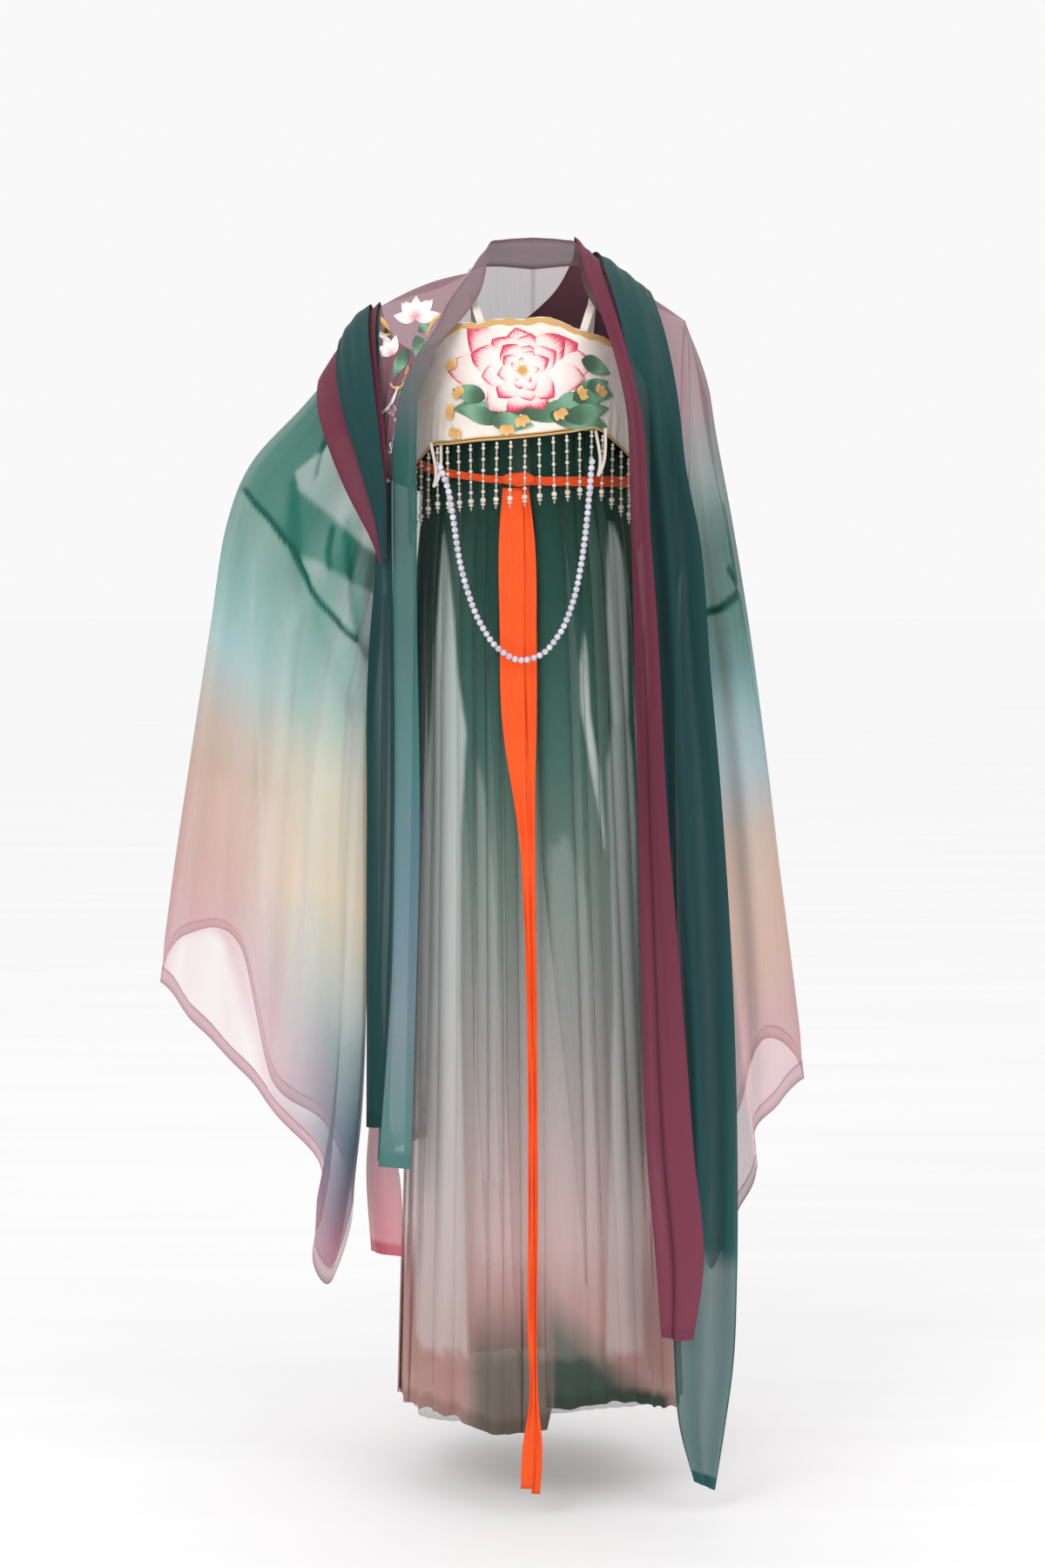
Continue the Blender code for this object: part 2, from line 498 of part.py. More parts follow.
def belt():
    degrees = np.arange(-180, 180, 12.0)
    drop = smooth(degrees, BELT_LINE["angle"], BELT_LINE["drop"])
    half = smooth(degrees, BELT_LINE["angle"], BELT_LINE["half"])
    angle = np.radians(degrees)
    width = SKIRT["half_width"][2] + SKIRT["fold"][2] + BELT_OFF
    depth = SKIRT["half_depth"][2] + SKIRT["fold"][2] + BELT_OFF
    x, y = SKIRT["centre"][2] + width * np.sin(angle), -depth * np.cos(angle)
    grid = np.stack([np.stack([x, y, -(drop + s * half)], axis=-1) for s in (-1, 1)])
    wall("belt_loop", grid, ORANGE, thick=BELT_WALL, ring=True)
    tail("belt_tail_right", TAIL_RIGHT, TAIL_RIGHT_OFF)
    tail("belt_tail_left", TAIL_LEFT, TAIL_LEFT_OFF)
    knot()


def knot():
    """The flat knot in front of the belt loop: a pillow drawn in where the ribbon crosses it."""
    across, around = 9, 8
    t = np.linspace(0, math.pi, across)[1:-1]
    turn = np.linspace(0, 2 * math.pi, around, endpoint=False)
    centre = np.array((KNOT_X, -(SKIRT["half_depth"][2] + KNOT_OFF), -KNOT_DROP))
    end = np.array((KNOT_SIZE[0], 0, 0))
    rings = []
    for a in t:
        radius = math.sin(a) ** 0.7 * (0.80 + 0.20 * abs(math.cos(1.5 * a)))
        x = np.full(around, -math.cos(a))
        ring = np.stack([x, radius * np.cos(turn), radius * np.sin(turn)], axis=-1)
        rings.append(ring * KNOT_SIZE + centre)
    vertices = np.concatenate([*rings, [centre - end], [centre + end]])
    faces, count = [], len(rings)
    last = (count - 1) * around
    for k in range(around):
        after = (k + 1) % around
        for r in range(0, last, around):
            faces.append((r + k, r + after, r + around + after, r + around + k))
        faces.append((count * around, after, k))
        faces.append((count * around + 1, last + k, last + after))
    add_object("belt_knot", vertices, faces, ORANGE)


# ---- robe ----------------------------------------------------------------------------------------
BAND_ROWS = (0, 0.16, 0.33, 0.5, 0.64, 0.72, 0.77, 0.81, 0.85, 0.885, 0.92, 0.95, 0.975, 1.0)
BAND_RIDGE_ROW = 12  # the row of its table that lies on the shoulder ridge


def band_half(side):
    """The band's grid from one hem to the nape, and its normals. BAND_ROWS reach the shoulder ridge."""
    rows = edge_of(BAND, "xi yi zi xo yo zo")
    ridge = chord(rows)[BAND_RIDGE_ROW]
    at = np.concatenate([np.array(BAND_ROWS) * ridge, np.linspace(ridge, 1, 6)[1:]])
    both = through(rows, at) * (side, 1, 1, side, 1, 1)
    inner, outer = both[:, :3], both[:, 3:]
    grid = np.stack([inner, (inner + outer) / 2, outer])
    return grid, outward(grid, False)


def robe_band():
    """One long band from the right hem, round the back of the neck, to the left hem."""
    right, right_facing = band_half(-1)
    left, left_facing = band_half(1)
    grid = np.concatenate([right, left[:, -2::-1]], axis=1)
    facing = np.concatenate([right_facing, left_facing[:, -2::-1]], axis=1)
    wall("robe_band", grid, MAUVE, thick=ROBE_BAND_WALL, facing=facing)


def armhole_depth(drop, top):
    """Half the armhole's width, front to back."""
    middle, half = (top + UNDERARM) / 2, (UNDERARM - top) / 2
    return ARMHOLE_DEPTH * np.sqrt(np.clip(1 - ((drop - middle) / half) ** 2, 0, 1))


def ridge_drop(x, top):
    """How far the shoulder seam lies below the neck point."""
    return RIDGE_START + (top - RIDGE_START) * smooth(x, SHOULDER_RIDGE["x"], SHOULDER_RIDGE["share"])


def side_line(drop):
    """Half-width of the robe's body at its armhole or side seam."""
    return np.where(drop <= UNDERARM, SHOULDER, smooth(drop, ROBE["drop"], ROBE["side"]))


ARMHOLE_SHARES = (0, 0.046, 0.112, 0.194, 0.31, 0.44, 0.59, 0.77, 1)  # rows down to the underarm
SIDE_DROPS = (0.47, 0.62, 0.79, 0.95, ROBE_HEM)  # and those below it
SHOULDER_DROP = 0.22  # the shoulder's slope ends this far below the armhole's top


def robe_front(name, side):
    """A front panel between its band and the armhole or side seam; its top row is the shoulder seam."""
    band, band_facing = band_half(side)
    rows = len(BAND_ROWS)
    seam, seam_facing = band[2, rows - 1::-1], band_facing[2, rows - 1::-1]
    top = ARMHOLE_TOP[side]
    drops = np.concatenate([top + np.array(ARMHOLE_SHARES) * (UNDERARM - top), SIDE_DROPS])
    ahead = -np.maximum(armhole_depth(drops, top), HALF_SEAM)
    edge = np.stack([side_line(drops), ahead, -drops], axis=-1) * (side, 1, 1)
    f = np.linspace(0, 1, 6)[None, :, None]
    onward = seam - band[1, rows - 1::-1]
    start = seam + onward * 2 * SEAM / np.linalg.norm(onward, axis=-1, keepdims=True)
    grid = start[:, None, :] + (edge - start)[:, None, :] * f
    hump = np.sin(math.pi * f[..., 0])
    on_shoulder = np.clip(1 - (drops - top) / SHOULDER_DROP, 0, 1)[:, None]
    on_chest = (drops < CHEST_FOOT)[:, None]
    grid[..., 2] += SHOULDER_RISE * hump * on_shoulder
    grid[..., 1] -= CHEST_FULLNESS * hump * (1 - on_shoulder) * on_chest
    grid[..., 0] += side * SIDE_FULLNESS * hump * ~on_chest
    grid[0, :, 1] = -HALF_SEAM
    grid[0, :, 2] = -ridge_drop(np.abs(grid[0, :, 0]), top)
    facing = outward(grid, False)
    facing[:, 0] = seam_facing
    armhole = np.where(drops <= UNDERARM, SHOULDER, 1.0)[:, None]
    limits = ((1, -1, -HALF_SEAM), (0, -side, side * armhole))
    wall(name, grid, MAUVE, limits=limits, facing=facing)


BACK_NECK = ((0, 0.0774, -0.0166), (0.050, 0.0553, -0.0172), (0.0778, SEAM, -0.0262))  # along the band
BACK_YOKE = 0.16  # the back reaches its full section this far below its top edge


def back_top(half, top):
    """The back panel's top edge at shares from the centre (0) to the shoulder tip (1): x, y, z."""
    ridge = [(x, SEAM, -ridge_drop(x, top)) for x in SHOULDER_RIDGE["x"][1:]]
    return through([*BACK_NECK, *ridge], half)


def robe_back_points(half, down, side):
    """Half of the back panel: half runs from its centre (0) to its side (1), down from its top edge (0)
    to its hem (1)."""
    top = back_top(half, ARMHOLE_TOP[side])
    drop = -top[..., 2] + down * (ROBE_BACK_HEM + top[..., 2])
    start = np.minimum(1, (drop + top[..., 2]) / BACK_YOKE)
    x = top[..., 0] + (half * side_line(drop) - top[..., 0]) * start
    at_side = np.maximum(armhole_depth(drop, ARMHOLE_TOP[side]), HALF_SEAM)
    back = smooth(drop, ROBE["drop"], ROBE["back"])
    section = at_side + (back - at_side) * np.sqrt(np.clip(1 - half**2.4, 0, 1))
    ease = np.sqrt(np.clip(1 - (1 - start) ** 2, 0, 1))
    y = top[..., 1] + (section - top[..., 1]) * ease
    deepen = BACK_FOLDS * np.clip((drop - 0.3) / 0.5, 0, 1)
    y = y + deepen * np.sin(side * half * 16) * (1 - half**4)
    return np.stack([x * side, y, -drop], axis=-1)


def robe_back():
    quarter = math.pi / 2 * 0.92  # columns stand closer towards the sides, where the section turns
    half = np.sin(np.linspace(0, quarter, 11)) / math.sin(quarter)
    down = np.array([0, 0.006, 0.018, 0.035, 0.06, 0.10, 0.16, 0.24, 0.31, 0.48, 0.72, 1.0])
    left, right = (robe_back_points(half[None, :], down[:, None], side) for side in (1, -1))
    grid = np.concatenate([right[:, :0:-1], left], axis=1)
    wall("robe_back", grid, TEAL, limits=((1, 1, HALF_SEAM),))


# ---- sleeves -------------------------------------------------------------------------------------
def sleeve_points(lines, cuff, side, turn, share):
    """A sleeve's wall: turn runs round it from the top fold by the front, and share runs from the
    armhole (0) to the cuff (1)."""
    knots = chord(edge_of(lines, "xt yt zt xb yb zb"))
    value = {name: smooth(share, knots, column) for name, column in lines.items()}
    top = np.stack([value["xt"], value["yt"], value["zt"]], axis=-1)
    foot = np.stack([value["xb"], value["yb"], value["zb"]], axis=-1)
    ahead, over = np.sin(turn), np.cos(turn)
    depth = np.where(ahead > 0, value["front"], value["back"])
    grid = (top + foot) / 2 + (top - foot) / 2 * over[..., None]
    grid[..., 1] -= depth * ahead
    round_it = np.degrees(turn) % 360
    pull = np.clip((share - 0.25) / 0.75, 0, 1) ** 2.2
    for k, name in enumerate(("dx", "dy", "dz")):
        grid[..., k] += pull * smooth(round_it, cuff["round"], cuff[name])
    ripple = SLEEVE_RIPPLE * np.clip((share - 0.12) / 0.5, 0, 1) * np.abs(ahead)
    grid[..., 1] -= ripple * (np.sin(7 * turn + 2 * share) + 0.4 * np.sin(9 * turn - 3 * share))
    return grid * (side, 1, 1)


def sleeve(name, lines, cuff, side, colour):
    """A sleeve and the binding of its cuff, cut from one surface."""
    turn = np.linspace(0, 2 * math.pi, 34, endpoint=False)[None, :]
    cut = 1 - CUFF_BAND / SLEEVE_LENGTH
    end = cut - 4 * SEAM / SLEEVE_LENGTH
    shares = np.array([0, 0.06, 0.14, 0.23, 0.33, 0.45, 0.58, 0.71, 0.84, end, cut, 1.0])
    grid = sleeve_points(lines, cuff, side, turn, shares[:, None])
    facing = outward(grid, True)
    facing[-3] = facing[-2]
    at_armhole = ((0, side, side * (SHOULDER + SEAM)),)
    wall("robe_sleeve_" + name, grid[:-2], colour, ring=True, limits=at_armhole, facing=facing[:-2])
    wall("cuff_band_" + name, grid[-2:], ROSE, ring=True, facing=facing[-2:])


# ---- shawl ---------------------------------------------------------------------------------------
# Rows of a shawl strip: inner edge x y z, outer edge x y z, how far its middle bows out, fold depth.
SHAWL_WINE = (
    (-0.175, -0.127, -0.372, -0.184, -0.121, -0.378, 0, 0),
    (-0.174, -0.127, -0.300, -0.194, -0.119, -0.350, 0, 0),
    (-0.176, -0.124, -0.235, -0.224, -0.112, -0.292, 0, 0),
    (-0.185, -0.106, -0.160, -0.250, -0.092, -0.228, 0, 0),
    (-0.190, -0.062, -0.098, -0.262, -0.050, -0.185, 0, 0),
    (-0.188, 0.000, -0.057, -0.262, 0.000, -0.154, 0.005, 0),
    (-0.178, 0.070, -0.096, -0.254, 0.078, -0.188, 0.008, 0),
    (-0.140, 0.100, -0.118, -0.206, 0.132, -0.262, 0.010, 0),
    (-0.060, 0.124, -0.105, -0.090, 0.164, -0.300, 0.020, 0),
    (0.020, 0.098, -0.050, 0.060, 0.163, -0.262, 0.026, 0),
    (0.048, 0.060, -0.008, 0.124, 0.127, -0.136, 0.012, 0),
    (0.052, 0.000, 0.014, 0.080, 0.000, -0.010, 0, 0),
    (0.062, -0.057, -0.030, 0.088, -0.065, -0.046, 0, 0),
    (0.081, -0.109, -0.086, 0.104, -0.120, -0.105, 0, 0.0010),
    (0.097, -0.150, -0.142, 0.114, -0.160, -0.165, 0, 0.0020),
    (0.108, -0.168, -0.195, 0.122, -0.174, -0.215, 0, 0.0030),
    (0.113, -0.172, -0.300, 0.128, -0.178, -0.310, 0, 0.0035),
    (0.118, -0.173, -0.450, 0.140, -0.179, -0.450, 0, 0.0040),
    (0.123, -0.174, -0.650, 0.157, -0.180, -0.650, 0, 0.0045),
    (0.128, -0.176, -0.861, 0.174, -0.182, -0.861, 0, 0.0050),
    (0.135, -0.179, -1.073, 0.191, -0.184, -1.073, 0, 0.0055),
    (0.149, -0.182, -1.242, 0.203, -0.186, -1.230, 0, 0.0055),
    (0.154, -0.182, -1.305, 0.192, -0.186, -1.307, 0, 0.0050),
)
SHAWL_GREEN = (
    (-0.175, -0.133, -0.370, -0.182, -0.129, -0.374, 0, 0),
    (-0.175, -0.133, -0.300, -0.188, -0.129, -0.332, 0, 0),
    (-0.181, -0.130, -0.240, -0.208, -0.125, -0.262, 0, 0),
    (-0.190, -0.113, -0.165, -0.228, -0.107, -0.196, 0, 0),
    (-0.198, -0.067, -0.103, -0.238, -0.063, -0.145, 0, 0),
    (-0.199, 0.000, -0.056, -0.237, 0.000, -0.107, 0.005, 0),
    (-0.188, 0.077, -0.092, -0.238, 0.088, -0.153, 0.008, 0),
    (-0.146, 0.112, -0.124, -0.196, 0.143, -0.236, 0.012, 0),
    (-0.062, 0.136, -0.116, -0.086, 0.174, -0.270, 0.020, 0),
    (0.026, 0.110, -0.064, 0.066, 0.174, -0.236, 0.026, 0),
    (0.064, 0.068, -0.008, 0.134, 0.134, -0.132, 0.014, 0),
    (0.083, 0.000, -0.002, 0.140, 0.000, -0.047, 0.002, 0),
    (0.092, -0.068, -0.044, 0.151, -0.068, -0.080, 0.003, 0),
    (0.105, -0.118, -0.100, 0.162, -0.112, -0.134, 0.003, 0.0020),
    (0.114, -0.150, -0.160, 0.170, -0.132, -0.190, 0.003, 0.0040),
    (0.120, -0.157, -0.226, 0.178, -0.142, -0.262, 0, 0.0050),
    (0.127, -0.159, -0.330, 0.196, -0.144, -0.350, 0, 0.0055),
    (0.136, -0.159, -0.490, 0.209, -0.146, -0.500, 0, 0.0060),
    (0.148, -0.160, -0.650, 0.223, -0.148, -0.650, 0, 0.0060),
    (0.160, -0.161, -0.861, 0.238, -0.150, -0.861, 0, 0.0065),
    (0.168, -0.163, -1.073, 0.246, -0.152, -1.073, 0, 0.0070),
    (0.168, -0.165, -1.240, 0.247, -0.154, -1.240, 0, 0.0070),
    (0.170, -0.165, -1.330, 0.244, -0.154, -1.340, 0, 0.0060),
    (0.177, -0.165, -1.420, 0.233, -0.154, -1.430, 0, 0.0040),
    (0.195, -0.165, -1.488, 0.222, -0.154, -1.503, 0, 0.0020),
)
TAIL_GREEN = (
    (-0.176, -0.112, -0.384, -0.188, -0.112, -0.388, 0, 0),
    (-0.179, -0.104, -0.460, -0.189, -0.060, -0.470, 0, 0),
    (-0.180, -0.100, -0.700, -0.189, -0.055, -0.700, 0, 0),
    (-0.186, -0.100, -0.900, -0.191, -0.055, -0.900, 0, 0),
    (-0.192, -0.104, -1.065, -0.197, -0.060, -1.070, 0, 0),
)
TAIL_WINE = (
    (-0.1765, -0.044, -0.415, -0.1845, -0.010, -0.419, 0, 0),
    (-0.180, -0.044, -0.700, -0.190, -0.006, -0.700, 0, 0),
    (-0.187, -0.044, -0.900, -0.193, -0.006, -0.900, 0, 0),
    (-0.197, -0.046, -1.060, -0.201, -0.010, -1.060, 0, 0),
    (-0.197, -0.078, -1.135, -0.211, -0.028, -1.135, 0, 0.003),
    (-0.160, -0.110, -1.225, -0.206, -0.050, -1.232, 0, 0.004),
)


def shawl():
    wall("shawl_wine", strip(SHAWL_WINE, 48, 6, 1), WINE)
    wall("shawl_green", strip(SHAWL_GREEN, 50, 7, 2), TEAL)
    wall("shawl_green_tail", strip(TAIL_GREEN, 10, 4, 1), TEAL)
    wall("shawl_wine_tail", strip(TAIL_WINE, 12, 5, 1), ROSE)


def main():
    for old in list(bpy.data.objects):
        bpy.data.objects.remove(old)
    skirt_outer()
    skirt_inner_layers()
    bodice()
    fringe()
    pearl_swag()
    belt()
    robe_band()
    robe_front("robe_front_right", -1)
    robe_front("robe_front_left", 1)
    robe_back()
    sleeve("right", SLEEVE_RIGHT, CUFF_RIGHT, -1, SEA)
    sleeve("left", SLEEVE_LEFT, CUFF_LEFT, 1, SEA)
    shawl()


main()
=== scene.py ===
import math

import bpy
import numpy as np
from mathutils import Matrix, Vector
from mathutils.bvhtree import BVHTree


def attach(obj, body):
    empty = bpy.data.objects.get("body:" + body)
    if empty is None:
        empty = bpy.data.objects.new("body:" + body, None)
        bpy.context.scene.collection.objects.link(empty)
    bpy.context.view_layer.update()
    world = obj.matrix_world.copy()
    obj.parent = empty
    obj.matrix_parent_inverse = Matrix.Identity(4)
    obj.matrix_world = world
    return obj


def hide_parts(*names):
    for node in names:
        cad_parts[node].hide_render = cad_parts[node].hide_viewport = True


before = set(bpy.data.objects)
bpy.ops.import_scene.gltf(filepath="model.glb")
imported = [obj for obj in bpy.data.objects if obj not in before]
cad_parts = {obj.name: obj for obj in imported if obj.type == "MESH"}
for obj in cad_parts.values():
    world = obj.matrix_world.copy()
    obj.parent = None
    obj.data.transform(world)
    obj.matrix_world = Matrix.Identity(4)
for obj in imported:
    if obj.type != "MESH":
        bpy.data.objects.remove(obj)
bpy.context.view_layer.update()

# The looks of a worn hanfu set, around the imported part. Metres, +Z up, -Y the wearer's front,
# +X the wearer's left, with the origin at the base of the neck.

# ---- driving dimensions, as the part has them ----
SEAM = 0.0003
HALF_SEAM = SEAM / 2
SHOULDER = 0.1853
ARMHOLE_TOP = {-1: 0.066, 1: 0.084}
UNDERARM = 0.37
ARMHOLE_DEPTH = 0.095
ROBE_HEM, ROBE_BACK_HEM = 1.11, 1.13
BACK_FOLDS = 0.006
SLEEVE_RIPPLE = 0.008
SLEEVE_LENGTH = 0.95
CUFF_BAND = 0.022
SKIRT_TOP, SKIRT_HEM = 0.205, 1.432
UNDER_HEM, LINING_HEM = 1.445, 1.278
UNDER_INSET, LINING_INSET, WAISTBAND_INSET = 0.0125, 0.021, 0.004
WAISTBAND_TOP, WAISTBAND_FOOT = 0.135, 0.2035
WRAP_STEP = 0.005
BODICE_RADIUS = 0.142
SATIN_THICK = 0.0018
SIDE_SEAM, SIDE_GAP = math.radians(90), math.radians(0.15)
STRANDS = np.radians(np.linspace(-100, 100, 31))
PEARL = 0.0076
FLOOR_Z, FLOOR_HALF = -1.53, 30.0
LONG_ROWS = 110


def rows_of(width, text, unit=1000):
    """The text's numbers in rows of so many, from millimetres to metres."""
    return np.array(text.split(), float).reshape(-1, width) / unit


def table(columns, text):
    """A table with named columns, as one array for each name. Its lengths are in millimetres, angle and
    round are in degrees, and share is a plain number."""
    names = columns.split()
    units = [1 if name in ("angle", "round", "share") else 1000 for name in names]
    return dict(zip(names, rows_of(len(names), text, units).T))


SKIRT = table("drop half_width half_depth centre fold", """
    135 127 113 -10 1.5   205 126 112 -10 2   280 124 110 -10 2.5   400 132 120 -8 6.5
    700 142 131 -2 11   1050 154 143 4 14   1450 167 155 8 16.5""")
FOLD_ANGLES = (3, 20, 27, 34, 42, 52, 60, 72, 86, 98, 112, 124, 136, 150, 162, 176, 190, 202, 216, 230,
               242, 256, 268, 280, 294, 303, 311, 322, 332, 339, 346, 353, 363)
HEM_RISE = table("angle rise", """
    3 34   40 30   58 10   80 0   180 10   290 10   320 12   344 0   363 6   379 10""")
BODICE = table("drop half_width half_depth", """
    80 128 108   120 135 121   170 141 137   220 142 143   290 141 143""")
BODICE_CENTRE = -0.010
BODICE_EDGES = table("angle top foot", """
    -100 164 277   -90 158 272   -72 140 262   -60 122 250   -49 112 236   -38 98 234.5   -22 94 231
    -9 92 229   8 90 225   24 98 220   35 108 216   48 114 232   62 128 250   90 158 276   100 164 282""")
BODICE_BACK_TOP, BODICE_BACK_FOOT = 0.158, 0.235
SCALLOP, SCALLOP_ANGLE = 0.0035, 26
STRAP_LINE = table("x y z", """
    58 -94 -108   65 -87 -86   71 -55 -68   74 0 -50   73 50 -62   70 92 -106   66 103.5 -135
    62 106 -168""")
STRAP_HALF_WIDTH = 0.005
BAND = table("xi yi zi xo yo zo", """
    148 -135 -1110 187 -120 -1110   140 -132 -860 170 -118 -860   136 -130 -650 167 -116 -650
    139 -130 -380 167 -116 -380   138 -131 -300 167 -116 -300   137 -133 -220 165 -116 -228
    133 -133 -172 157 -115 -180   122 -130 -149 145 -112 -146   112 -119 -122 130 -105 -122
    90 -99 -96 115 -88 -97   65 -62 -58 104 -56 -68   57 -30 -26 90 -26 -44   55 0 6 77 0 -25
    36 46 18 50 54 -14   0 62 22 0 77 -16""")
BAND_RIDGE_ROW = 12
RIDGE_START = 0.0258
SHOULDER_RIDGE = table("x share", "77 0   110 0.43   150 0.73   185.3 1")
ROBE = table("drop back side", """
    20 80 185.3   100 124 185.3   160 146 185.3   220 154 185.3   370 158 185.3   420 160 178
    700 168 173   900 180 180   1130 192 189""")
SLEEVE_RIGHT = table("xt yt zt xb yb zb front back", """
    185.6 0 -66 185.6 0 -370 95 95   223 0 -122 192 0 -450 94 95   279 10 -187 198 -10 -540 96 98
    345 20 -258 202 -20 -640 100 100   376 30 -330 204 -30 -750 104 104
    398 30 -460 206 -40 -860 108 110   420 20 -600 210 -50 -970 112 116
    445 10 -760 222 -70 -1100 114 124   465 0 -903 249 -90 -1253 110 130""")
SLEEVE_LEFT = table("xt yt zt xb yb zb front back", """
    185.6 0 -84 185.6 0 -370 95 95   205 0 -146 190 10 -460 90 95   219 10 -225 194 20 -560 86 95
    240 20 -330 197 30 -660 84 95   261 20 -450 200 30 -770 84 100   281 20 -580 203 30 -880 86 108
    301 20 -720 207 30 -1000 90 116   320 10 -870 213 20 -1130 94 124   339 0 -1025 224 10 -1270 96 130""")
CUFF_RIGHT = table("round dx dy dz", """
    0 0 0 0   40 -23 6 6   70 -29 4 40   100 -29 0 75   130 -33 4 75   155 6 -20 16   180 0 -10 -4
    205 -34 0 48   235 -32 0 86   262 -10 -20 66   292 -20 0 145   325 -6 0 82   360 0 0 0""")
CUFF_LEFT = table("round dx dy dz", """
    0 0 0 0   35 -22 0 4   75 -24 4 40   105 6 0 50   140 8 0 40   180 0 0 0   215 -10 0 40
    260 0 10 84   300 -14 0 90   335 -4 0 36   360 0 0 0""")


# ---- curves and grids ----
def smooth(at, knots, values):
    """A curve through the table's values, with even slopes at its knots (cubic Hermite)."""
    at = np.clip(np.asarray(at, float), knots[0], knots[-1])
    slopes = np.gradient(values, knots)
    i = np.clip(np.searchsorted(knots, at, side="right") - 1, 0, len(knots) - 2)
    span = knots[i + 1] - knots[i]
    t = (at - knots[i]) / span
    near = (1 + 2 * t) * (1 - t) ** 2 * values[i] + t * (1 - t) ** 2 * span * slopes[i]
    far = t * t * (3 - 2 * t) * values[i + 1] + t * t * (t - 1) * span * slopes[i + 1]
    return near + far


def read(tab, name, at):
    """A column of a table as a smooth curve over the table's first column."""
    return smooth(at, next(iter(tab.values())), tab[name])


def even(count):
    """So many shares from 0 to 1, in even steps."""
    return np.linspace(0, 1, count)


def rise(value, start, over):
    """0 up to the start, then rising evenly to 1 over the given reach."""
    return np.clip((value - start) / over, 0, 1)


def fall(value, end, over):
    """1 at first, then falling evenly over the given reach, to 0 at the end."""
    return np.clip((end - value) / over, 0, 1)


def whole_turn(count):
    """So many angles round a circle."""
    return np.linspace(0, 2 * math.pi, count, endpoint=False)


def joined(*coordinates):
    """Points from their coordinates, each spread to the shape that they share."""
    return np.stack(np.broadcast_arrays(*coordinates), axis=-1)


def chord(points):
    """How far along the points' polyline each of them is, as a share of its length."""
    steps = np.linalg.norm(np.diff(points, axis=0), axis=1)
    return np.concatenate([[0], np.cumsum(steps)]) / steps.sum()


def through(points, at):
    """Rows of the smooth curve through the given rows, at shares of its length."""
    points = np.array(points, float)
    knots = chord(points)
    return np.stack([smooth(at, knots, points[:, k]) for k in range(points.shape[1])], axis=-1)


def edge_of(tab, names):
    """Some columns of a table side by side, as rows of coordinates."""
    return np.stack([tab[name] for name in names.split()], axis=-1)


def between(values, count):
    """The list again with count entries, in even steps of its index."""
    values = np.asarray(values, float)
    at = np.linspace(0, len(values) - 1, count)
    return np.interp(at, np.arange(len(values)), values)


def spread(near, far, shares):
    """Rows of points from one line to another, at shares of the way."""
    return near[:, None] + (far - near)[:, None] * shares[:, None]


def edges(share, soft):
    """1 at both edges of a strip, falling away softly towards its middle."""
    return np.exp(-((np.minimum(share, 1 - share) / soft) ** 2))


def moved(grid, ring, amount):
    """The grid moved along its outward normals: away from its own middle, or from the Z axis."""
    across = np.roll(grid, -1, 1) - np.roll(grid, 1, 1) if ring else np.gradient(grid, axis=1)
    out = np.cross(across, np.gradient(grid, axis=0))
    out = out / np.maximum(np.linalg.norm(out, axis=-1, keepdims=True), 1e-12)
    middle = grid.mean(axis=1, keepdims=True) if ring else grid * (0, 0, 1)
    if ((grid - middle) * out).sum() <= 0:
        out = -out
    return grid + out * np.broadcast_to(amount, grid.shape[:2])[..., None]


def lengths(grid):
    """Metres along each grid: across (u) and down (v), as averages over the other direction."""
    across = np.linalg.norm(np.diff(grid, axis=1), axis=-1).mean(axis=0)
    down = np.linalg.norm(np.diff(grid, axis=0), axis=-1).mean(axis=1)
    return np.concatenate([[0], np.cumsum(across)]), np.concatenate([[0], np.cumsum(down)])


def waves(u, v, seed, count, across, down):
    """A sum of slanted waves of about the given lengths, about 1 high."""
    random = np.random.RandomState(seed)
    total = 0.0
    for _ in range(count):
        su, sv = random.uniform(0.6, 1.6) / across, random.uniform(-1, 1) / down
        total = total + np.sin(2 * math.pi * (su * u + sv * v + random.uniform()))
    return total / math.sqrt(count)


def off_line(x, z, line):
    """The distance to a polyline of (x, z) points."""
    best = np.full(np.broadcast(x, z).shape, 9.0)
    for (ax, az), (bx, bz) in zip(line, line[1:]):
        dx, dz = bx - ax, bz - az
        t = np.clip(((x - ax) * dx + (z - az) * dz) / (dx * dx + dz * dz), 0, 1)
        best = np.minimum(best, np.hypot(x - ax - t * dx, z - az - t * dz))
    return best


def inside(x, z, corners, soft):
    """1 within an outline of (x, z) corners, falling to 0 across its soft edge."""
    within = np.zeros(np.broadcast(x, z).shape, bool)
    closed = (*corners, corners[0])
    for (ax, az), (bx, bz) in zip(closed, closed[1:]):
        if az != bz:
            within ^= ((az > z) != (bz > z)) & (x < ax + (bx - ax) * (z - az) / (bz - az))
    far = off_line(x, z, closed)
    return np.clip(0.5 + np.where(within, far, -far) / soft, 0, 1)


# ---- objects ----
def linked(name, data):
    """A new object in the scene."""
    obj = bpy.data.objects.new(name, data)
    bpy.context.scene.collection.objects.link(obj)
    return obj


def mesh_object(name, vertices, faces, look, nodes=(), uv=None, fields=None):
    """A smooth mesh that rides on the one body and stands in for the named nodes. uv holds a pair for
    each corner of each face, and fields a number for each point under each name."""
    mesh = bpy.data.meshes.new(name)
    mesh.from_pydata(vertices.tolist(), [], faces)
    mesh.shade_smooth()
    mesh.materials.append(look)
    if uv is not None:
        mesh.uv_layers.new(name="UVMap").data.foreach_set("uv", np.asarray(uv, np.float32).ravel())
    for key, value in (fields or {}).items():
        made = mesh.attributes.new(key, "FLOAT", "POINT")
        made.data.foreach_set("value", np.asarray(value, np.float32).ravel())
    obj = linked(name, mesh)
    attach(obj, "root")
    if nodes:
        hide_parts(*nodes)
    return obj


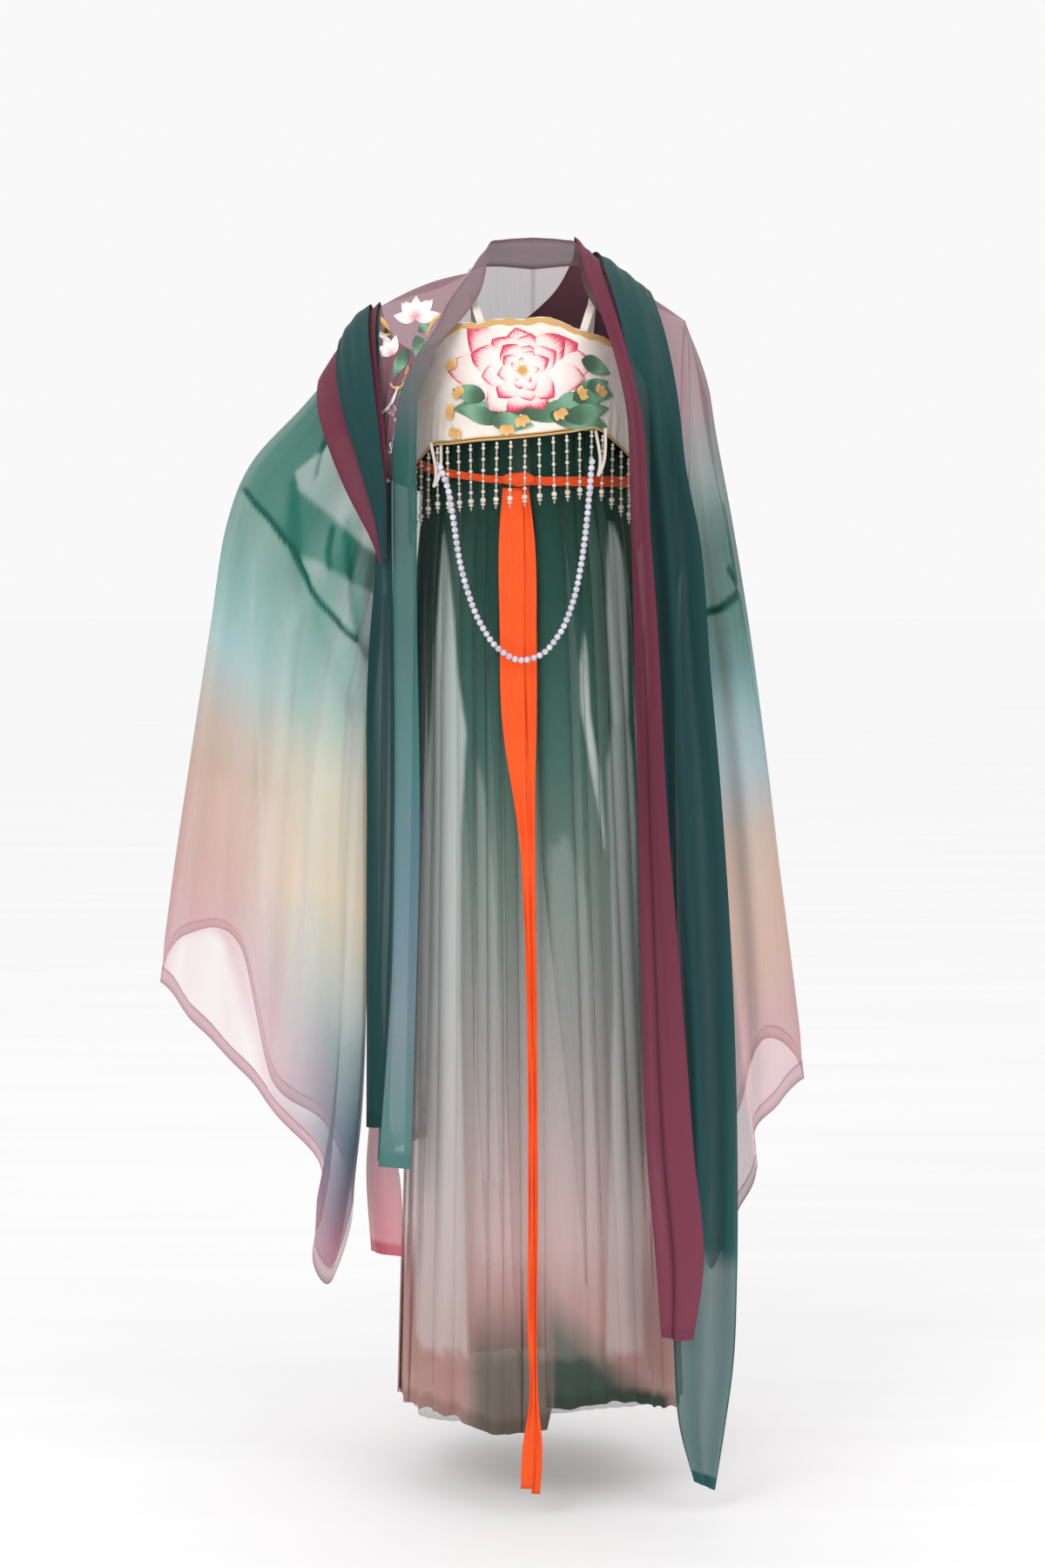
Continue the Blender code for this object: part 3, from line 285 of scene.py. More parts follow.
def grid_faces(rows, cols, ring):
    """The quads between a grid's points, and the row and the column at which each starts."""
    last = cols if ring else cols - 1
    r, c = np.meshgrid(np.arange(rows - 1), np.arange(last), indexing="ij")
    r, c = r.ravel(), c.ravel()
    after = (c + 1) % cols
    faces = np.stack([r * cols + c, (r + 1) * cols + c, (r + 1) * cols + after, r * cols + after], 1)
    return faces, r, c


def cloth(name, grid, look, nodes=(), ring=False, thick=0.0, density_and_painted_light=None, second=None, pale=None):
    """A sheet through the grid's points. Its UVs are in metres. dense says where it is darker and harder to
    see through: thicker cloth at hems, creases and doubled folds, and also painted shade in creases and
    fold valleys, and painted highlights where it is below 0. second says where its second dye lies, and
    pale where it lies single over the white lining, painted pale as if that lining were lit (painted
    light)."""
    rows, cols = grid.shape[:2]
    faces, r, c = grid_faces(rows, cols, ring)
    u, v = lengths(np.concatenate([grid, grid[:, :1]], axis=1) if ring else grid)
    uv = np.stack([np.stack([u[c + a], v[r + b]], 1) for a, b in ((0, 0), (0, 1), (1, 1), (1, 0))], axis=1)
    fields = {"density_and_painted_light": density_and_painted_light, "second": second, "pale": pale}
    for key, value in fields.items():
        value = 0.0 if value is None else value
        fields[key] = np.broadcast_to(np.clip(value, -1, 2), (rows, cols))
    obj = mesh_object(name, grid.reshape(-1, 3), faces.tolist(), look, nodes, uv, fields)
    if thick:
        solid = obj.modifiers.new("thickness", "SOLIDIFY")
        solid.thickness = thick
        solid.offset = 0
    return obj


# ---- materials ----
def srgb(code):
    """A linear colour from its usual six-digit name."""
    parts = [int(code[k:k + 2], 16) / 255 for k in (0, 2, 4)]
    linear = [c / 12.92 if c <= 0.04045 else ((c + 0.055) / 1.055) ** 2.4 for c in parts]
    return (*linear, 1.0)


def shader(name, **constants):
    """A new material, its node tree and its Principled shader, with constants on its sockets."""
    made = bpy.data.materials.new(name)
    made.use_nodes = True
    main = made.node_tree.nodes["Principled BSDF"]
    for socket, value in constants.items():
        main.inputs[socket.replace("_", " ").title().replace("Ior", "IOR")].default_value = value
    return made, made.node_tree, main


def feed(value, socket):
    """Links an input to an output or a Number, or gives it a constant."""
    if isinstance(value, Number):
        value = value.output
    if isinstance(value, bpy.types.NodeSocket):
        socket.id_data.links.new(value, socket)
    else:
        socket.default_value = value


def add(tree, kind, inputs=None, **settings):
    node = tree.nodes.new("ShaderNode" + kind)
    for key, value in settings.items():
        setattr(node, key, value)
    for name, value in (inputs or {}).items():
        feed(value, node.inputs[name])
    return node


class Number:
    """A number at the output of a node. Sums and products with it become Math nodes."""

    def __init__(self, output):
        self.output = output

    def math(self, operation, first, second=0.0, clamp=False):
        made = add(self.output.id_data, "Math", {0: first, 1: second}, operation=operation, use_clamp=clamp)
        return Number(made.outputs[0])

    def __add__(self, other):
        return self.math("ADD", self, other)

    def __radd__(self, other):
        return self.math("ADD", other, self)

    def __sub__(self, other):
        return self.math("SUBTRACT", self, other)

    def __mul__(self, other):
        return self.math("MULTIPLY", self, other)

    def sine(self):
        return self.math("SINE", self)

    def lifted(self):
        """Half of it and a half more, so that -1 to 1 becomes 0 to 1."""
        return self.math("MULTIPLY_ADD", self, 0.5)


def point_in(tree):
    return add(tree, "TexCoord").outputs["Object"]


def uv_in(tree):
    return add(tree, "UVMap").outputs["UV"]


def field(tree, name):
    return Number(add(tree, "Attribute", attribute_name=name).outputs["Fac"])


def noise(tree, vector, scale, detail=2.0):
    made = add(tree, "TexNoise", {"Vector": vector, "Scale": scale, "Detail": detail})
    return Number(made.outputs["Fac"])


def streaked(tree, vector, scale, detail):
    """Noise stretched into threads: the smaller a scale, the longer they are along it."""
    made = add(tree, "Mapping", {"Vector": vector, "Scale": scale})
    return noise(tree, made.outputs["Vector"], 1.0, detail)


def ramp(tree, factor, stops):
    """Colours by place. stops is a text of places, in metres or as shares, each with its colour."""
    words = stops.split()
    places = [float(word) for word in words[::2]]
    first, last = places[0], places[-1]
    share = add(tree, "MapRange", {"Value": factor, "From Min": first, "From Max": last})
    made = add(tree, "ValToRGB", {"Fac": share.outputs[0]})
    elements = made.color_ramp.elements
    while len(elements) < len(places):
        elements.new(0.5)
    for element, place, code in zip(elements, places, words[1::2]):
        element.position = (place - first) / (last - first)
        element.color = srgb(code)
    return made.outputs["Color"]


def plain_weave(tree, across, pitch):
    """The over-and-under of a plain weave from UVs in metres, from 0 to 1."""
    parts = add(tree, "SeparateXYZ", {"Vector": across})
    u, v = ((Number(parts.outputs[k]) * (2 * math.pi / pitch)).sine() for k in (0, 1))
    return (u * v).lifted()


def bumped(tree, main, height, distance, strength=0.5):
    made = add(tree, "Bump", {"Height": height, "Distance": distance, "Strength": strength})
    feed(made.outputs["Normal"], main.inputs["Normal"])


def sheer(name, dye, along=(0, 0, -1), alpha=0.5, drift=0.08, second=None, pale=None):
    """Dip-dyed chiffon: the dye changes along one direction, with soft drifts, thread streaks, and a
    fine weave. dense lets less light through and darkens the colour, for thicker cloth and also for
    painted shade and painted highlights. second brings in its own dye, and pale a pale dye that is painted
    light: the white lining seen through, as if lit."""
    made, tree, main = shader(name, roughness=0.8, sheen_weight=0.08, sheen_roughness=0.4,
                              specular_ior_level=0.25)
    place, across, density_and_painted_light = point_in(tree), uv_in(tree), field(tree, "density_and_painted_light")
    down = add(tree, "VectorMath", {0: place, 1: along}, operation="DOT_PRODUCT")
    metres = Number(down.outputs["Value"]) + (noise(tree, place, 4.0) - 0.5) * drift
    colour = ramp(tree, metres, dye)
    for key, other in (("second", second), ("pale", pale)):
        if other:
            mixed = add(tree, "Mix", {"Factor": field(tree, key), 6: colour, 7: ramp(tree, metres, other)},
                        data_type="RGBA")
            colour = mixed.outputs[2]
    threads = streaked(tree, across, (420.0, 9.0, 1.0), 4.0)
    # dense darkens the colour: thicker cloth, and painted shade in creases and fold valleys; below 0 it is
    # a painted highlight.
    value = 1.0 + (threads - 0.5) * 0.06 - density_and_painted_light * 0.34
    tint = add(tree, "HueSaturation", {"Color": colour, "Value": value})
    feed(tint.outputs["Color"], main.inputs["Base Color"])
    weave = plain_weave(tree, across, 0.0007)
    body = alpha + (threads - 0.5) * 0.07 + (weave - 0.5) * 0.06
    feed(body.math("ADD", body, density_and_painted_light * 0.45, clamp=True), main.inputs["Alpha"])
    bumped(tree, main, weave, 0.00012, 0.4)
    return made


def woven(name, code, dark, roughness=0.7, pitch=0.0008, sheen=0.3):
    """Opaque cloth with a fine weave and soft, uneven colour."""
    made, tree, main = shader(name, roughness=roughness, sheen_weight=sheen, specular_ior_level=0.3)
    place, across = point_in(tree), uv_in(tree)
    uneven = streaked(tree, across, (500.0, 60.0, 1.0), 3.0) * 0.6 + noise(tree, place, 30.0) * 0.4
    feed(ramp(tree, uneven, f"0.3 {dark}  0.7 {code}"), main.inputs["Base Color"])
    bumped(tree, main, plain_weave(tree, across, pitch), 0.0002)
    return made


def satin(name):
    """Champagne satin with a faint woven figure and a soft shine."""
    made, tree, main = shader(name, roughness=0.36, sheen_weight=0.2, specular_ior_level=0.55,
                              anisotropic=0.5)
    place, across = point_in(tree), uv_in(tree)
    figure = Number(add(tree, "TexVoronoi", {"Vector": across, "Scale": 70.0}).outputs["Distance"])
    threads = streaked(tree, across, (60.0, 1500.0, 1.0), 2.0)
    both = (figure * 0.5 + threads * 0.5) * 0.7 + noise(tree, place, 9.0) * 0.3
    feed(ramp(tree, both, "0.2 e6d5c9  0.55 f1e5db  0.9 faf4ee"), main.inputs["Base Color"])
    bumped(tree, main, both, 0.0003, 0.3)
    return made


def stitched(name, stops, pitch=0.0011):
    """Satin stitch: threads that run along v of each motif, coloured by how far along they are."""
    made, tree, main = shader(name, roughness=0.45, sheen_weight=0.35, specular_ior_level=0.5)
    across = uv_in(tree)
    parts = add(tree, "SeparateXYZ", {"Vector": across})
    ragged = streaked(tree, across, (900.0, 30.0, 1.0), 2.0)
    along = field(tree, "reach") + (ragged - 0.5) * 0.35 + field(tree, "tint") * 0.3
    lines = (Number(parts.outputs[0]) * (2 * math.pi / pitch)).sine().lifted()
    feed(ramp(tree, along, stops), main.inputs["Base Color"])
    bumped(tree, main, lines + noise(tree, across, 6.0), 0.0003, 0.6)
    return made


def pearl(name, code, light, roughness=0.22):
    made, tree, main = shader(name, roughness=roughness, specular_ior_level=0.7, coat_weight=0.5,
                              coat_roughness=0.12, sheen_weight=0.3)
    uneven = noise(tree, point_in(tree), 160.0)
    feed(ramp(tree, uneven, f"0.3 {code}  0.7 {light}"), main.inputs["Base Color"])
    return made


# ---- camera, light and floor ----
PHOTO_EYE = (-0.013, -3.6, -0.32)
PHOTO_TILT = math.radians(84.7)
PHOTO_LENS = 66.82


def camera():
    made = bpy.data.cameras.new("camera")
    made.lens = PHOTO_LENS
    made.sensor_width = 36
    made.clip_end = 100
    obj = linked("camera", made)
    obj.location = PHOTO_EYE
    obj.rotation_euler = (PHOTO_TILT, 0, 0)
    bpy.context.scene.camera = obj


def area_light(name, place, aim, size, power):
    made = bpy.data.lights.new(name, "AREA")
    made.shape = "DISK"
    made.size = size
    made.energy = power
    obj = linked(name, made)
    obj.location = place
    obj.rotation_euler = (Vector(aim) - Vector(place)).to_track_quat("-Z", "Y").to_euler()


def studio():
    """A pale floor and a white background, lit softly from above, both sides and behind."""
    scene = bpy.context.scene
    scene.view_settings.view_transform = "Standard"
    scene.cycles.transparent_max_bounces = 64
    world = bpy.data.worlds.new("white")
    world.use_nodes = True
    background = world.node_tree.nodes["Background"]
    background.inputs["Color"].default_value = (1, 1, 1, 1)
    background.inputs["Strength"].default_value = 0.95
    scene.world = world
    area_light("key", (-1.6, -2.6, 1.4), (0, 0, -0.6), 1.8, 26)
    area_light("fill", (2.2, -2.0, 0.6), (0, 0, -0.7), 2.0, 12)
    look, tree, main = shader("floor", roughness=0.85)
    grain = streaked(tree, point_in(tree), (1.2, 14.0, 1.0), 5.0)
    feed(ramp(tree, grain, "0.2 fafafa  0.8 ffffff"), main.inputs["Base Color"])
    ends = (-FLOOR_HALF, FLOOR_HALF)
    mesh = bpy.data.meshes.new("floor")
    mesh.from_pydata([(x, y, FLOOR_Z) for y in ends for x in ends], [], [(0, 1, 3, 2)])
    mesh.materials.append(look)
    linked("floor", mesh)


# ---- pearls and beads ----
SWAG_ROUTE = (
    (-0.111, -0.158, -0.262), (-0.101, -0.160, -0.290), (-0.094, -0.161, -0.330),
    (-0.088, -0.161, -0.370), (-0.078, -0.161, -0.410), (-0.062, -0.161, -0.450),
    (-0.042, -0.161, -0.478), (-0.016, -0.161, -0.492), (0.008, -0.161, -0.486),
    (0.030, -0.161, -0.462), (0.046, -0.161, -0.425), (0.056, -0.161, -0.380),
    (0.062, -0.161, -0.335), (0.066, -0.160, -0.290), (0.069, -0.158, -0.255),
)


def ball(across, around):
    """A unit ball's points and faces, poles along Z."""
    t = np.linspace(0, math.pi, across + 1)[1:-1, None]
    turn = whole_turn(around)
    ring = joined(np.sin(t) * np.cos(turn), np.sin(t) * np.sin(turn), np.cos(t)).reshape(-1, 3)
    points = np.concatenate([ring, [(0, 0, 1), (0, 0, -1)]])
    faces = []
    north, last = len(ring), len(ring) - around
    for k in range(around):
        after = (k + 1) % around
        faces.append((north, k, after))
        for row in range(0, last, around):
            faces.append((row + k, row + around + k, row + around + after, row + after))
        faces.append((north + 1, last + after, last + k))
    return points, faces


def balls(name, places, radii, heights, look, nodes=(), across=7, around=10):
    """Many beads in one mesh, each as wide as its radius says and as tall as its height says."""
    points, faces = ball(across, around)
    vertices, made = [], []
    for i, (place, radius, height) in enumerate(zip(places, radii, heights)):
        vertices.append(points * (radius, radius, height) + place)
        made += [tuple(k + i * len(points) for k in face) for face in faces]
    return mesh_object(name, np.concatenate(vertices), made, look, nodes)


def pearl_swag():
    """A string of pearls hanging freely in front."""
    route = through(SWAG_ROUTE, even(240))
    long = float(np.linalg.norm(np.diff(route, axis=0), axis=1).sum())
    count = round(long / PEARL)
    centres = through(SWAG_ROUTE, (np.arange(count) + 0.5) / count)
    size = np.full(count, PEARL / 2)
    obj = balls("swag_pearls", centres, size, size, pearl("swag_pearl", "b4aec2", "e2deea"),
                ["pearl_swag"], 10, 14)


def on_bodice(angle, drop, out=0.0):
    """A point of the bodice at an angle from the front, standing out by so much."""
    width = read(BODICE, "half_width", drop) + out
    depth = read(BODICE, "half_depth", drop) + out
    return joined(BODICE_CENTRE + width * np.sin(angle), -depth * np.cos(angle), -drop)


def bodice_edge(angle, which):
    """The drop of the bodice's scalloped top edge, or of its foot."""
    edge = read(BODICE_EDGES, which, np.degrees(angle))
    if which == "top":
        edge = edge - SCALLOP * np.abs(np.sin(np.degrees(angle) * math.pi / SCALLOP_ANGLE))
    return edge


# One strand of the fringe: how far each bead's middle is below the tape, its radius and half its height.
STRAND = table("drop radius half", """
    4 1.7 2.2   8.5 2.4 2.4   15 1.4 4.2   21.5 2.4 2.4   28 1.4 4.2   34.5 2.4 2.4   41 1.4 4.2
    47 1.9 1.9   53 1.4 4.2   59.5 2.4 2.4   64 1.4 2.2   69.5 3.4 3.4   74.5 3 1.6   78.5 1.2 2.6""")


def fringe():
    """Strands of round pearls, and of long silver beads between them, under a gold tape."""
    places = []
    top = bodice_edge(STRANDS, "foot") + 0.0035
    for i, (angle, drop) in enumerate(zip(STRANDS, top)):
        sway = 0.0015 * math.sin(7.1 * i)
        for down in STRAND["drop"]:
            places.append(on_bodice(angle, drop, 0.0021) + (sway * down / 0.08, 0, -down))
    places = np.array(places)
    radii, halves = (np.tile(STRAND[name], len(STRANDS)) for name in ("radius", "half"))
    long = halves > 1.4 * radii
    balls("fringe_pearls", places[~long], radii[~long], halves[~long],
          pearl("fringe_pearl", "cdb9a4", "efe4d8"), ["bead_fringe"])
    balls("fringe_long_beads", places[long], radii[long], halves[long],
          pearl("fringe_silver", "938a7e", "c8c0b4", 0.12), (), 6, 8)
    angles = np.linspace(STRANDS[0], STRANDS[-1], 181)
    foot = bodice_edge(angles, "foot") + 0.0008
    rows = [on_bodice(angles, foot + down, 0.0026) for down in (0, 0.0013, 0.0026)]
    cloth("fringe_tape", np.stack(rows), GOLD, thick=0.0008)


# ---- bodice ----
def bodice_front():
    edge = SIDE_SEAM - SIDE_GAP
    angles = np.linspace(-edge, edge, 181)
    shares = even(61)[:, None]
    top, foot = bodice_edge(angles, "top"), bodice_edge(angles, "foot")
    grid = on_bodice(angles[None, :], top + shares * (foot - top))
    u, v = np.meshgrid(*lengths(grid))
    loose = rise(shares, 0.55, 0.3) * rise(u, 0.27, 0.05)
    loose = loose + 0.5 * rise(shares, 0.5, 0.3) * fall(u, 0.15, 0.05)
    wrinkle = 0.0012 * loose * waves(u, v, 4, 5, 0.018, 0.06) + 0.0002 * waves(u, v, 5, 4, 0.05, 0.05)
    piece = cloth("bodice_satin_front", moved(grid, False, wrinkle), SATIN,
                  ["bodice_front"], thick=SATIN_THICK)


def bodice_back():
    angles = np.linspace(SIDE_SEAM + SIDE_GAP, 3 * SIDE_SEAM - SIDE_GAP, 121)
    drop = np.linspace(BODICE_BACK_TOP, BODICE_BACK_FOOT, 25)[:, None]
    grid = on_bodice(angles[None, :], drop)
    u, v = np.meshgrid(*lengths(grid))
    gathers = 0.0007 * waves(u, v, 11, 4, 0.010, 0.2)
    piece = cloth("bodice_satin_back", moved(grid, False, gathers), SATIN,
                  ["bodice_back"], thick=SATIN_THICK)


def edging(name, which, reach, node, width_waves):
    """A stitched gold border along an edge of the bodice, as a low round cord."""
    edge = SIDE_SEAM - SIDE_GAP
    angles = np.linspace(-edge, edge, 361)
    around = np.linspace(0, math.pi, 9)[:, None]
    half = reach / 2
    wander = 0.25 * half * np.sin(angles * width_waves)
    drop = bodice_edge(angles, which) + half - (half + wander) * np.cos(around)
    out = 0.0005 + 0.0013 * np.sin(around) * (1 + 0.15 * np.sin(angles * 700))
    cloth(name, on_bodice(angles[None, :], drop, out), GOLD, [node])


def straps():
    """A narrow strap over each shoulder."""
    for side, sign in (("right", -1), ("left", 1)):
        line = edge_of(STRAP_LINE, "x y z") * (sign, 1, 1)
        half = STRAP_HALF_WIDTH * np.linspace(-1, 1, 9)[:, None] * (sign, 0, 0)
        grid = through(line, even(81))[:, None, :] + half
        piece = cloth("satin_strap_" + side, grid, SATIN, ["bodice_strap_" + side], thick=0.001)


def loops():
    """A cream ribbon loop hanging from the bodice's foot on each side."""
    for side, degrees, long in (("right", -47, 0.052), ("left", 38, 0.056)):
        angle = math.radians(degrees)
        start = on_bodice(angle, bodice_edge(angle, "foot"), 0.0036)
        t = even(61)
        aside = 0.006 * (2 * t - 1) * (1 - 0.5 * np.sin(math.pi * t)) + 0.0025 * np.sin(3 * math.pi * t)
        line = joined(aside, -0.002 * np.sin(math.pi * t), -long * np.sin(math.pi * t) ** 0.8)
        way = np.gradient(line, axis=0)
        way /= np.linalg.norm(way, axis=1, keepdims=True)
        across = joined(-way[:, 2], 0, way[:, 0])
        grid = start + line[:, None] + across[:, None] * np.linspace(-0.0018, 0.0018, 5)[:, None]
        piece = cloth("cream_loop_" + side, grid, SATIN, thick=0.0005)


# ---- embroidery ----
def petal(origin, turn, long, wide, bend=0.0, lift=0.0010, low=0.0, blunt=0.75, rows=15, cols=11):
    """One motif in the plane: its points (across, up), how far it stands up, and its UVs. turn is in
    degrees from straight up, towards the wearer's left."""
    t = np.linspace(0.0, 1, rows)[:, None]
    w = np.linspace(-1, 1, cols)[None, :]
    half = wide / 2 * np.sin(math.pi * np.clip(t, 0.001, 0.999) ** blunt) ** 0.85
    a = math.radians(turn)
    along, aside = t * long, w * half + bend * long * t * t
    across = origin[0] + along * math.sin(a) + aside * math.cos(a)
    up = origin[1] + along * math.cos(a) - aside * math.sin(a)
    stand = low + lift * (1 - w**2) * np.sqrt(np.sin(math.pi * np.clip(t, 0.02, 0.98)))
    reach = t * (1 + 0.22 * np.abs(w) ** 3)
    return across, up, stand, reach, w * half, along


def motifs(name, pieces, onto, look, nodes=()):
    """Raised motifs joined in one mesh. onto turns (across, up, stand) into a point of the garment."""
    vertices, faces, uvs, reaches, tints, start = [], [], [], [], [], 0
    for tint, (across, up, stand, reach, u, v) in pieces:
        found = grid_faces(*across.shape, False)[0]
        vertices.append(onto(across, up, stand).reshape(-1, 3))
        faces.append(found + start)
        uvs.append(joined(u, v).reshape(-1, 2)[found])
        reaches.append(reach.ravel())
        tints.append(np.full(across.size, tint))
        start += across.size
    vertices, faces, uvs, reaches, tints = map(np.concatenate, (vertices, faces, uvs, reaches, tints))
    mesh_object(name, vertices, faces.tolist(), look, nodes, uvs, {"reach": reaches, "tint": tints})


def fan(centre, count, first, last, long, wide, tint=0.0, squash=1.0, stray=0.0, **more):
    """Petals spread round a centre between two directions, shorter upwards and downwards by squash, and
    each a little astray."""
    made = []
    for k, turn in enumerate(np.linspace(first, last, count)):
        turn = turn + stray * math.sin(9.1 * k + count)
        a = math.radians(turn)
        size = (1 + 0.09 * math.sin(5.3 * k + count)) * math.hypot(math.sin(a), squash * math.cos(a))
        shade = tint + (0.10 + 0.01 * stray) * math.sin(3.7 * k + count)
        made.append((shade, petal(centre, turn, long * size, wide, **more)))
    return made


FLOWER_ANGLE, FLOWER_DROP = math.radians(2), 0.150


def bodice_face(across, up, stand):
    """A point of the bodice: across from the flower's middle and up from its level, in metres."""
    return on_bodice(FLOWER_ANGLE + across / BODICE_RADIUS, FLOWER_DROP - up, SATIN_THICK / 2 + stand)


def lotus():
    """A wide open blossom of uneven rounded petals in five rings, the inner ones standing higher."""
    middle = (-0.008, -0.001)
    flower = []
    for count, first, last, long, wide, tint, squash, stray, low, bend, blunt in (
            (10, -165, 160, 0.094, 0.046, 0.04, 0.52, 9, 0.0002, 0.08, 1.15),
            (8, -170, 150, 0.074, 0.044, 0.02, 0.58, 12, 0.0010, -0.08, 1.15),
            (7, -150, 172, 0.052, 0.034, 0.06, 0.62, 12, 0.0018, 0.05, 1.1),
            (6, -168, 140, 0.034, 0.024, 0.06, 0.68, 12, 0.0026, 0.0, 1.0),
            (5, -140, 150, 0.019, 0.014, 0.05, 0.8, 10, 0.0032, 0.0, 0.75)):
        flower += fan(middle, count, first, last, long, wide, tint, squash, stray, low=low, bend=bend,
                      blunt=blunt)
    motifs("lotus_embroidery", flower, bodice_face, PETAL_THREAD, ["lotus_applique"])
    seeds = fan(middle, 11, -160, 170, 0.009, 0.0026, low=0.0040)
    motifs("lotus_stamens", seeds, bodice_face, GOLD_THREAD)


# In millimetres but for the turns, in degrees, and the bends.
LEAVES = rows_of(6, """
    0 -40 -97 98 36 0.06   -12 -50 86 118 34 -0.10   -28 -56 -84 64 26 0.10   20 -50 98 86 30 0.06
    52 -36 74 58 32 -0.15   66 12 104 46 22 0.10   70 -20 96 44 26 0.12   40 -56 84 66 24 -0.08
    -52 -34 -70 46 22 -0.10   -46 -60 92 52 22 0.08""", (1000, 1000, 1, 1000, 1000, 1))
CLOUDS = rows_of(3, """
    -84 -30 -40   -94 -50 -80   -90 -70 200   -26 -66 180   -10 -56 160   34 -48 150   60 -30 60
    88 -28 40   -98 2 -20""", (1000, 1000, 1))


def leaves():
    """Broad leaves along the foot and up the wearer's left side, with gold clouds among them."""
    green = []
    for k, (across, up, turn, long, wide, bend) in enumerate(LEAVES):
        tint = 0.3 * math.sin(2.3 * k)
        green.append((tint, petal((across, up), turn, long, wide, bend, low=0.0003 + 0.0002 * k)))
    motifs("leaf_embroidery", green, bodice_face, LEAF_THREAD, ["leaf_applique"])
    clouds = [(0.2 * k, petal((across, up), turn + 40 * k, 0.013, 0.010, low=0.0030))
              for across, up, turn in CLOUDS for k in (-1, 0, 1)]
    motifs("gold_cloud_embroidery", clouds, bodice_face, GOLD_THREAD)


def curl(start, heading, long, wide, turning, count=26):
    """A scroll in the plane whose heading turns faster towards its end."""
    points, at, a = [], np.array(start, float), math.radians(heading)
    for k in range(count):
        points.append(at)
        a += math.radians(turning) * (k / count) ** 1.5 / count * 2.2
        at = at + long / count * np.array((math.sin(a), math.cos(a)))
    points = np.array(points)
    along = np.gradient(points, axis=0)
    along /= np.linalg.norm(along, axis=1, keepdims=True)
    t = even(count)[:, None]
    w = np.linspace(-1, 1, 5)
    aside = wide / 2 * (0.35 + 0.65 * np.sin(math.pi * t)) * w
    across = points[:, :1] + along[:, 1:] * aside
    up = points[:, 1:] - along[:, :1] * aside
    return np.broadcast_arrays(across, up, 0.0002 + 0.0008 * (1 - w**2), t, aside, t * long)


def shoulder_embroidery(panel):
    """A small lotus with gold curls, leaves and white scrolls on the right shoulder's front."""
    graph = bpy.context.evaluated_depsgraph_get()
    tree = BVHTree.FromObject(panel, graph)

    def onto(across, up, stand):
        made = np.empty((*across.shape, 3))
        for place in np.ndindex(across.shape):
            x, z = -0.156 + 1.3 * across[place], -0.126 + 1.3 * up[place]
            hit, normal, _, _ = tree.ray_cast(Vector((x, -0.6, z)), Vector((0, 1, 0)))
            if hit is None:
                hit, normal, _, _ = tree.find_nearest(Vector((x, -0.10, z)))
            if normal.y > 0:
                normal = -normal
            made[place] = hit + normal * (0.0006 + float(stand[place]))
        return made

    blossom = fan((0.011, 0.030), 5, -80, 80, 0.023, 0.012, 0.0)
    blossom += fan((0.011, 0.032), 3, -34, 34, 0.018, 0.011, -0.1, low=0.0008)
    blossom += fan((-0.010, -0.004), 3, -60, 10, 0.018, 0.009, -0.05)
    motifs("shoulder_lotus", blossom, onto, WHITE_PETAL)
    green = [(tint, petal(start, turn, long, wide)) for tint, start, turn, long, wide in (
        (0.1, (0.012, 0.014), 160, 0.034, 0.014), (-0.2, (0.004, 0.002), 205, 0.030, 0.012),
        (0.2, (0.014, 0.018), 60, 0.014, 0.009), (-0.1, (0.000, -0.030), 175, 0.022, 0.007))]
    motifs("shoulder_leaves", green, onto, LEAF_THREAD)
    gold = [(0, curl(*shape)) for shape in (
        ((0.022, 0.012), 15, 0.040, 0.0034, 190), ((-0.012, 0.018), -30, 0.040, 0.0040, -230),
        ((0.008, -0.014), 190, 0.036, 0.0034, 200))]
    motifs("shoulder_gold_curls", gold, onto, GOLD_THREAD)
    white = [(0, curl(*shape)) for shape in (
        ((-0.020, 0.012), -20, 0.050, 0.0026, -260), ((-0.004, -0.034), 200, 0.050, 0.0030, 240),
        ((-0.008, -0.050), 150, 0.056, 0.0028, -220), ((0.010, -0.070), 190, 0.044, 0.0028, 260))]
    motifs("shoulder_white_scrolls", white, onto, WHITE_THREAD)


# ---- skirt ----
# How much of each fold is turned under, at these drops. Where that is little the layer lies single
# and the white lining shows through it. TURNED_UNDER has the angle at which a fold starts, and then
# the hundredths that are turned under at each drop.
TURN_DROPS = (0.25, 0.36, 0.50, 0.75, 1.00, 1.28, 1.44)
USUAL_TURN = (1.0, 1.0, 0.9, 0.7, 0.5, 0.2, 0.0)
TURNED_UNDER = {int(row[0]): row[1:] / 100 for row in rows_of(8, """
    3 100 100 100 95 50 0 0   20 100 90 40 50 50 0 0   27 100 100 90 0 0 0 0
    34 100 10 0 40 50 0 0   42 90 0 0 70 60 0 0   52 100 90 100 90 80 0 0
    72 100 80 20 0 0 0 0   98 100 90 60 10 0 0 0   124 100 90 70 20 0 0 0
    150 100 80 30 0 0 0 0   190 100 90 70 20 0 0 0   230 100 80 30 0 0 0 0
    268 100 90 80 70 60 50 50   294 100 90 50 0 0 0 0   303 100 80 0 0 0 0 0
    311 80 0 0 0 0 0 0   322 100 100 80 30 0 0 0   332 100 100 100 90 80 0 0
    339 100 100 90 30 50 0 0   346 100 100 100 90 90 50 0   353 100 100 100 100 70 0 0""", 1)}
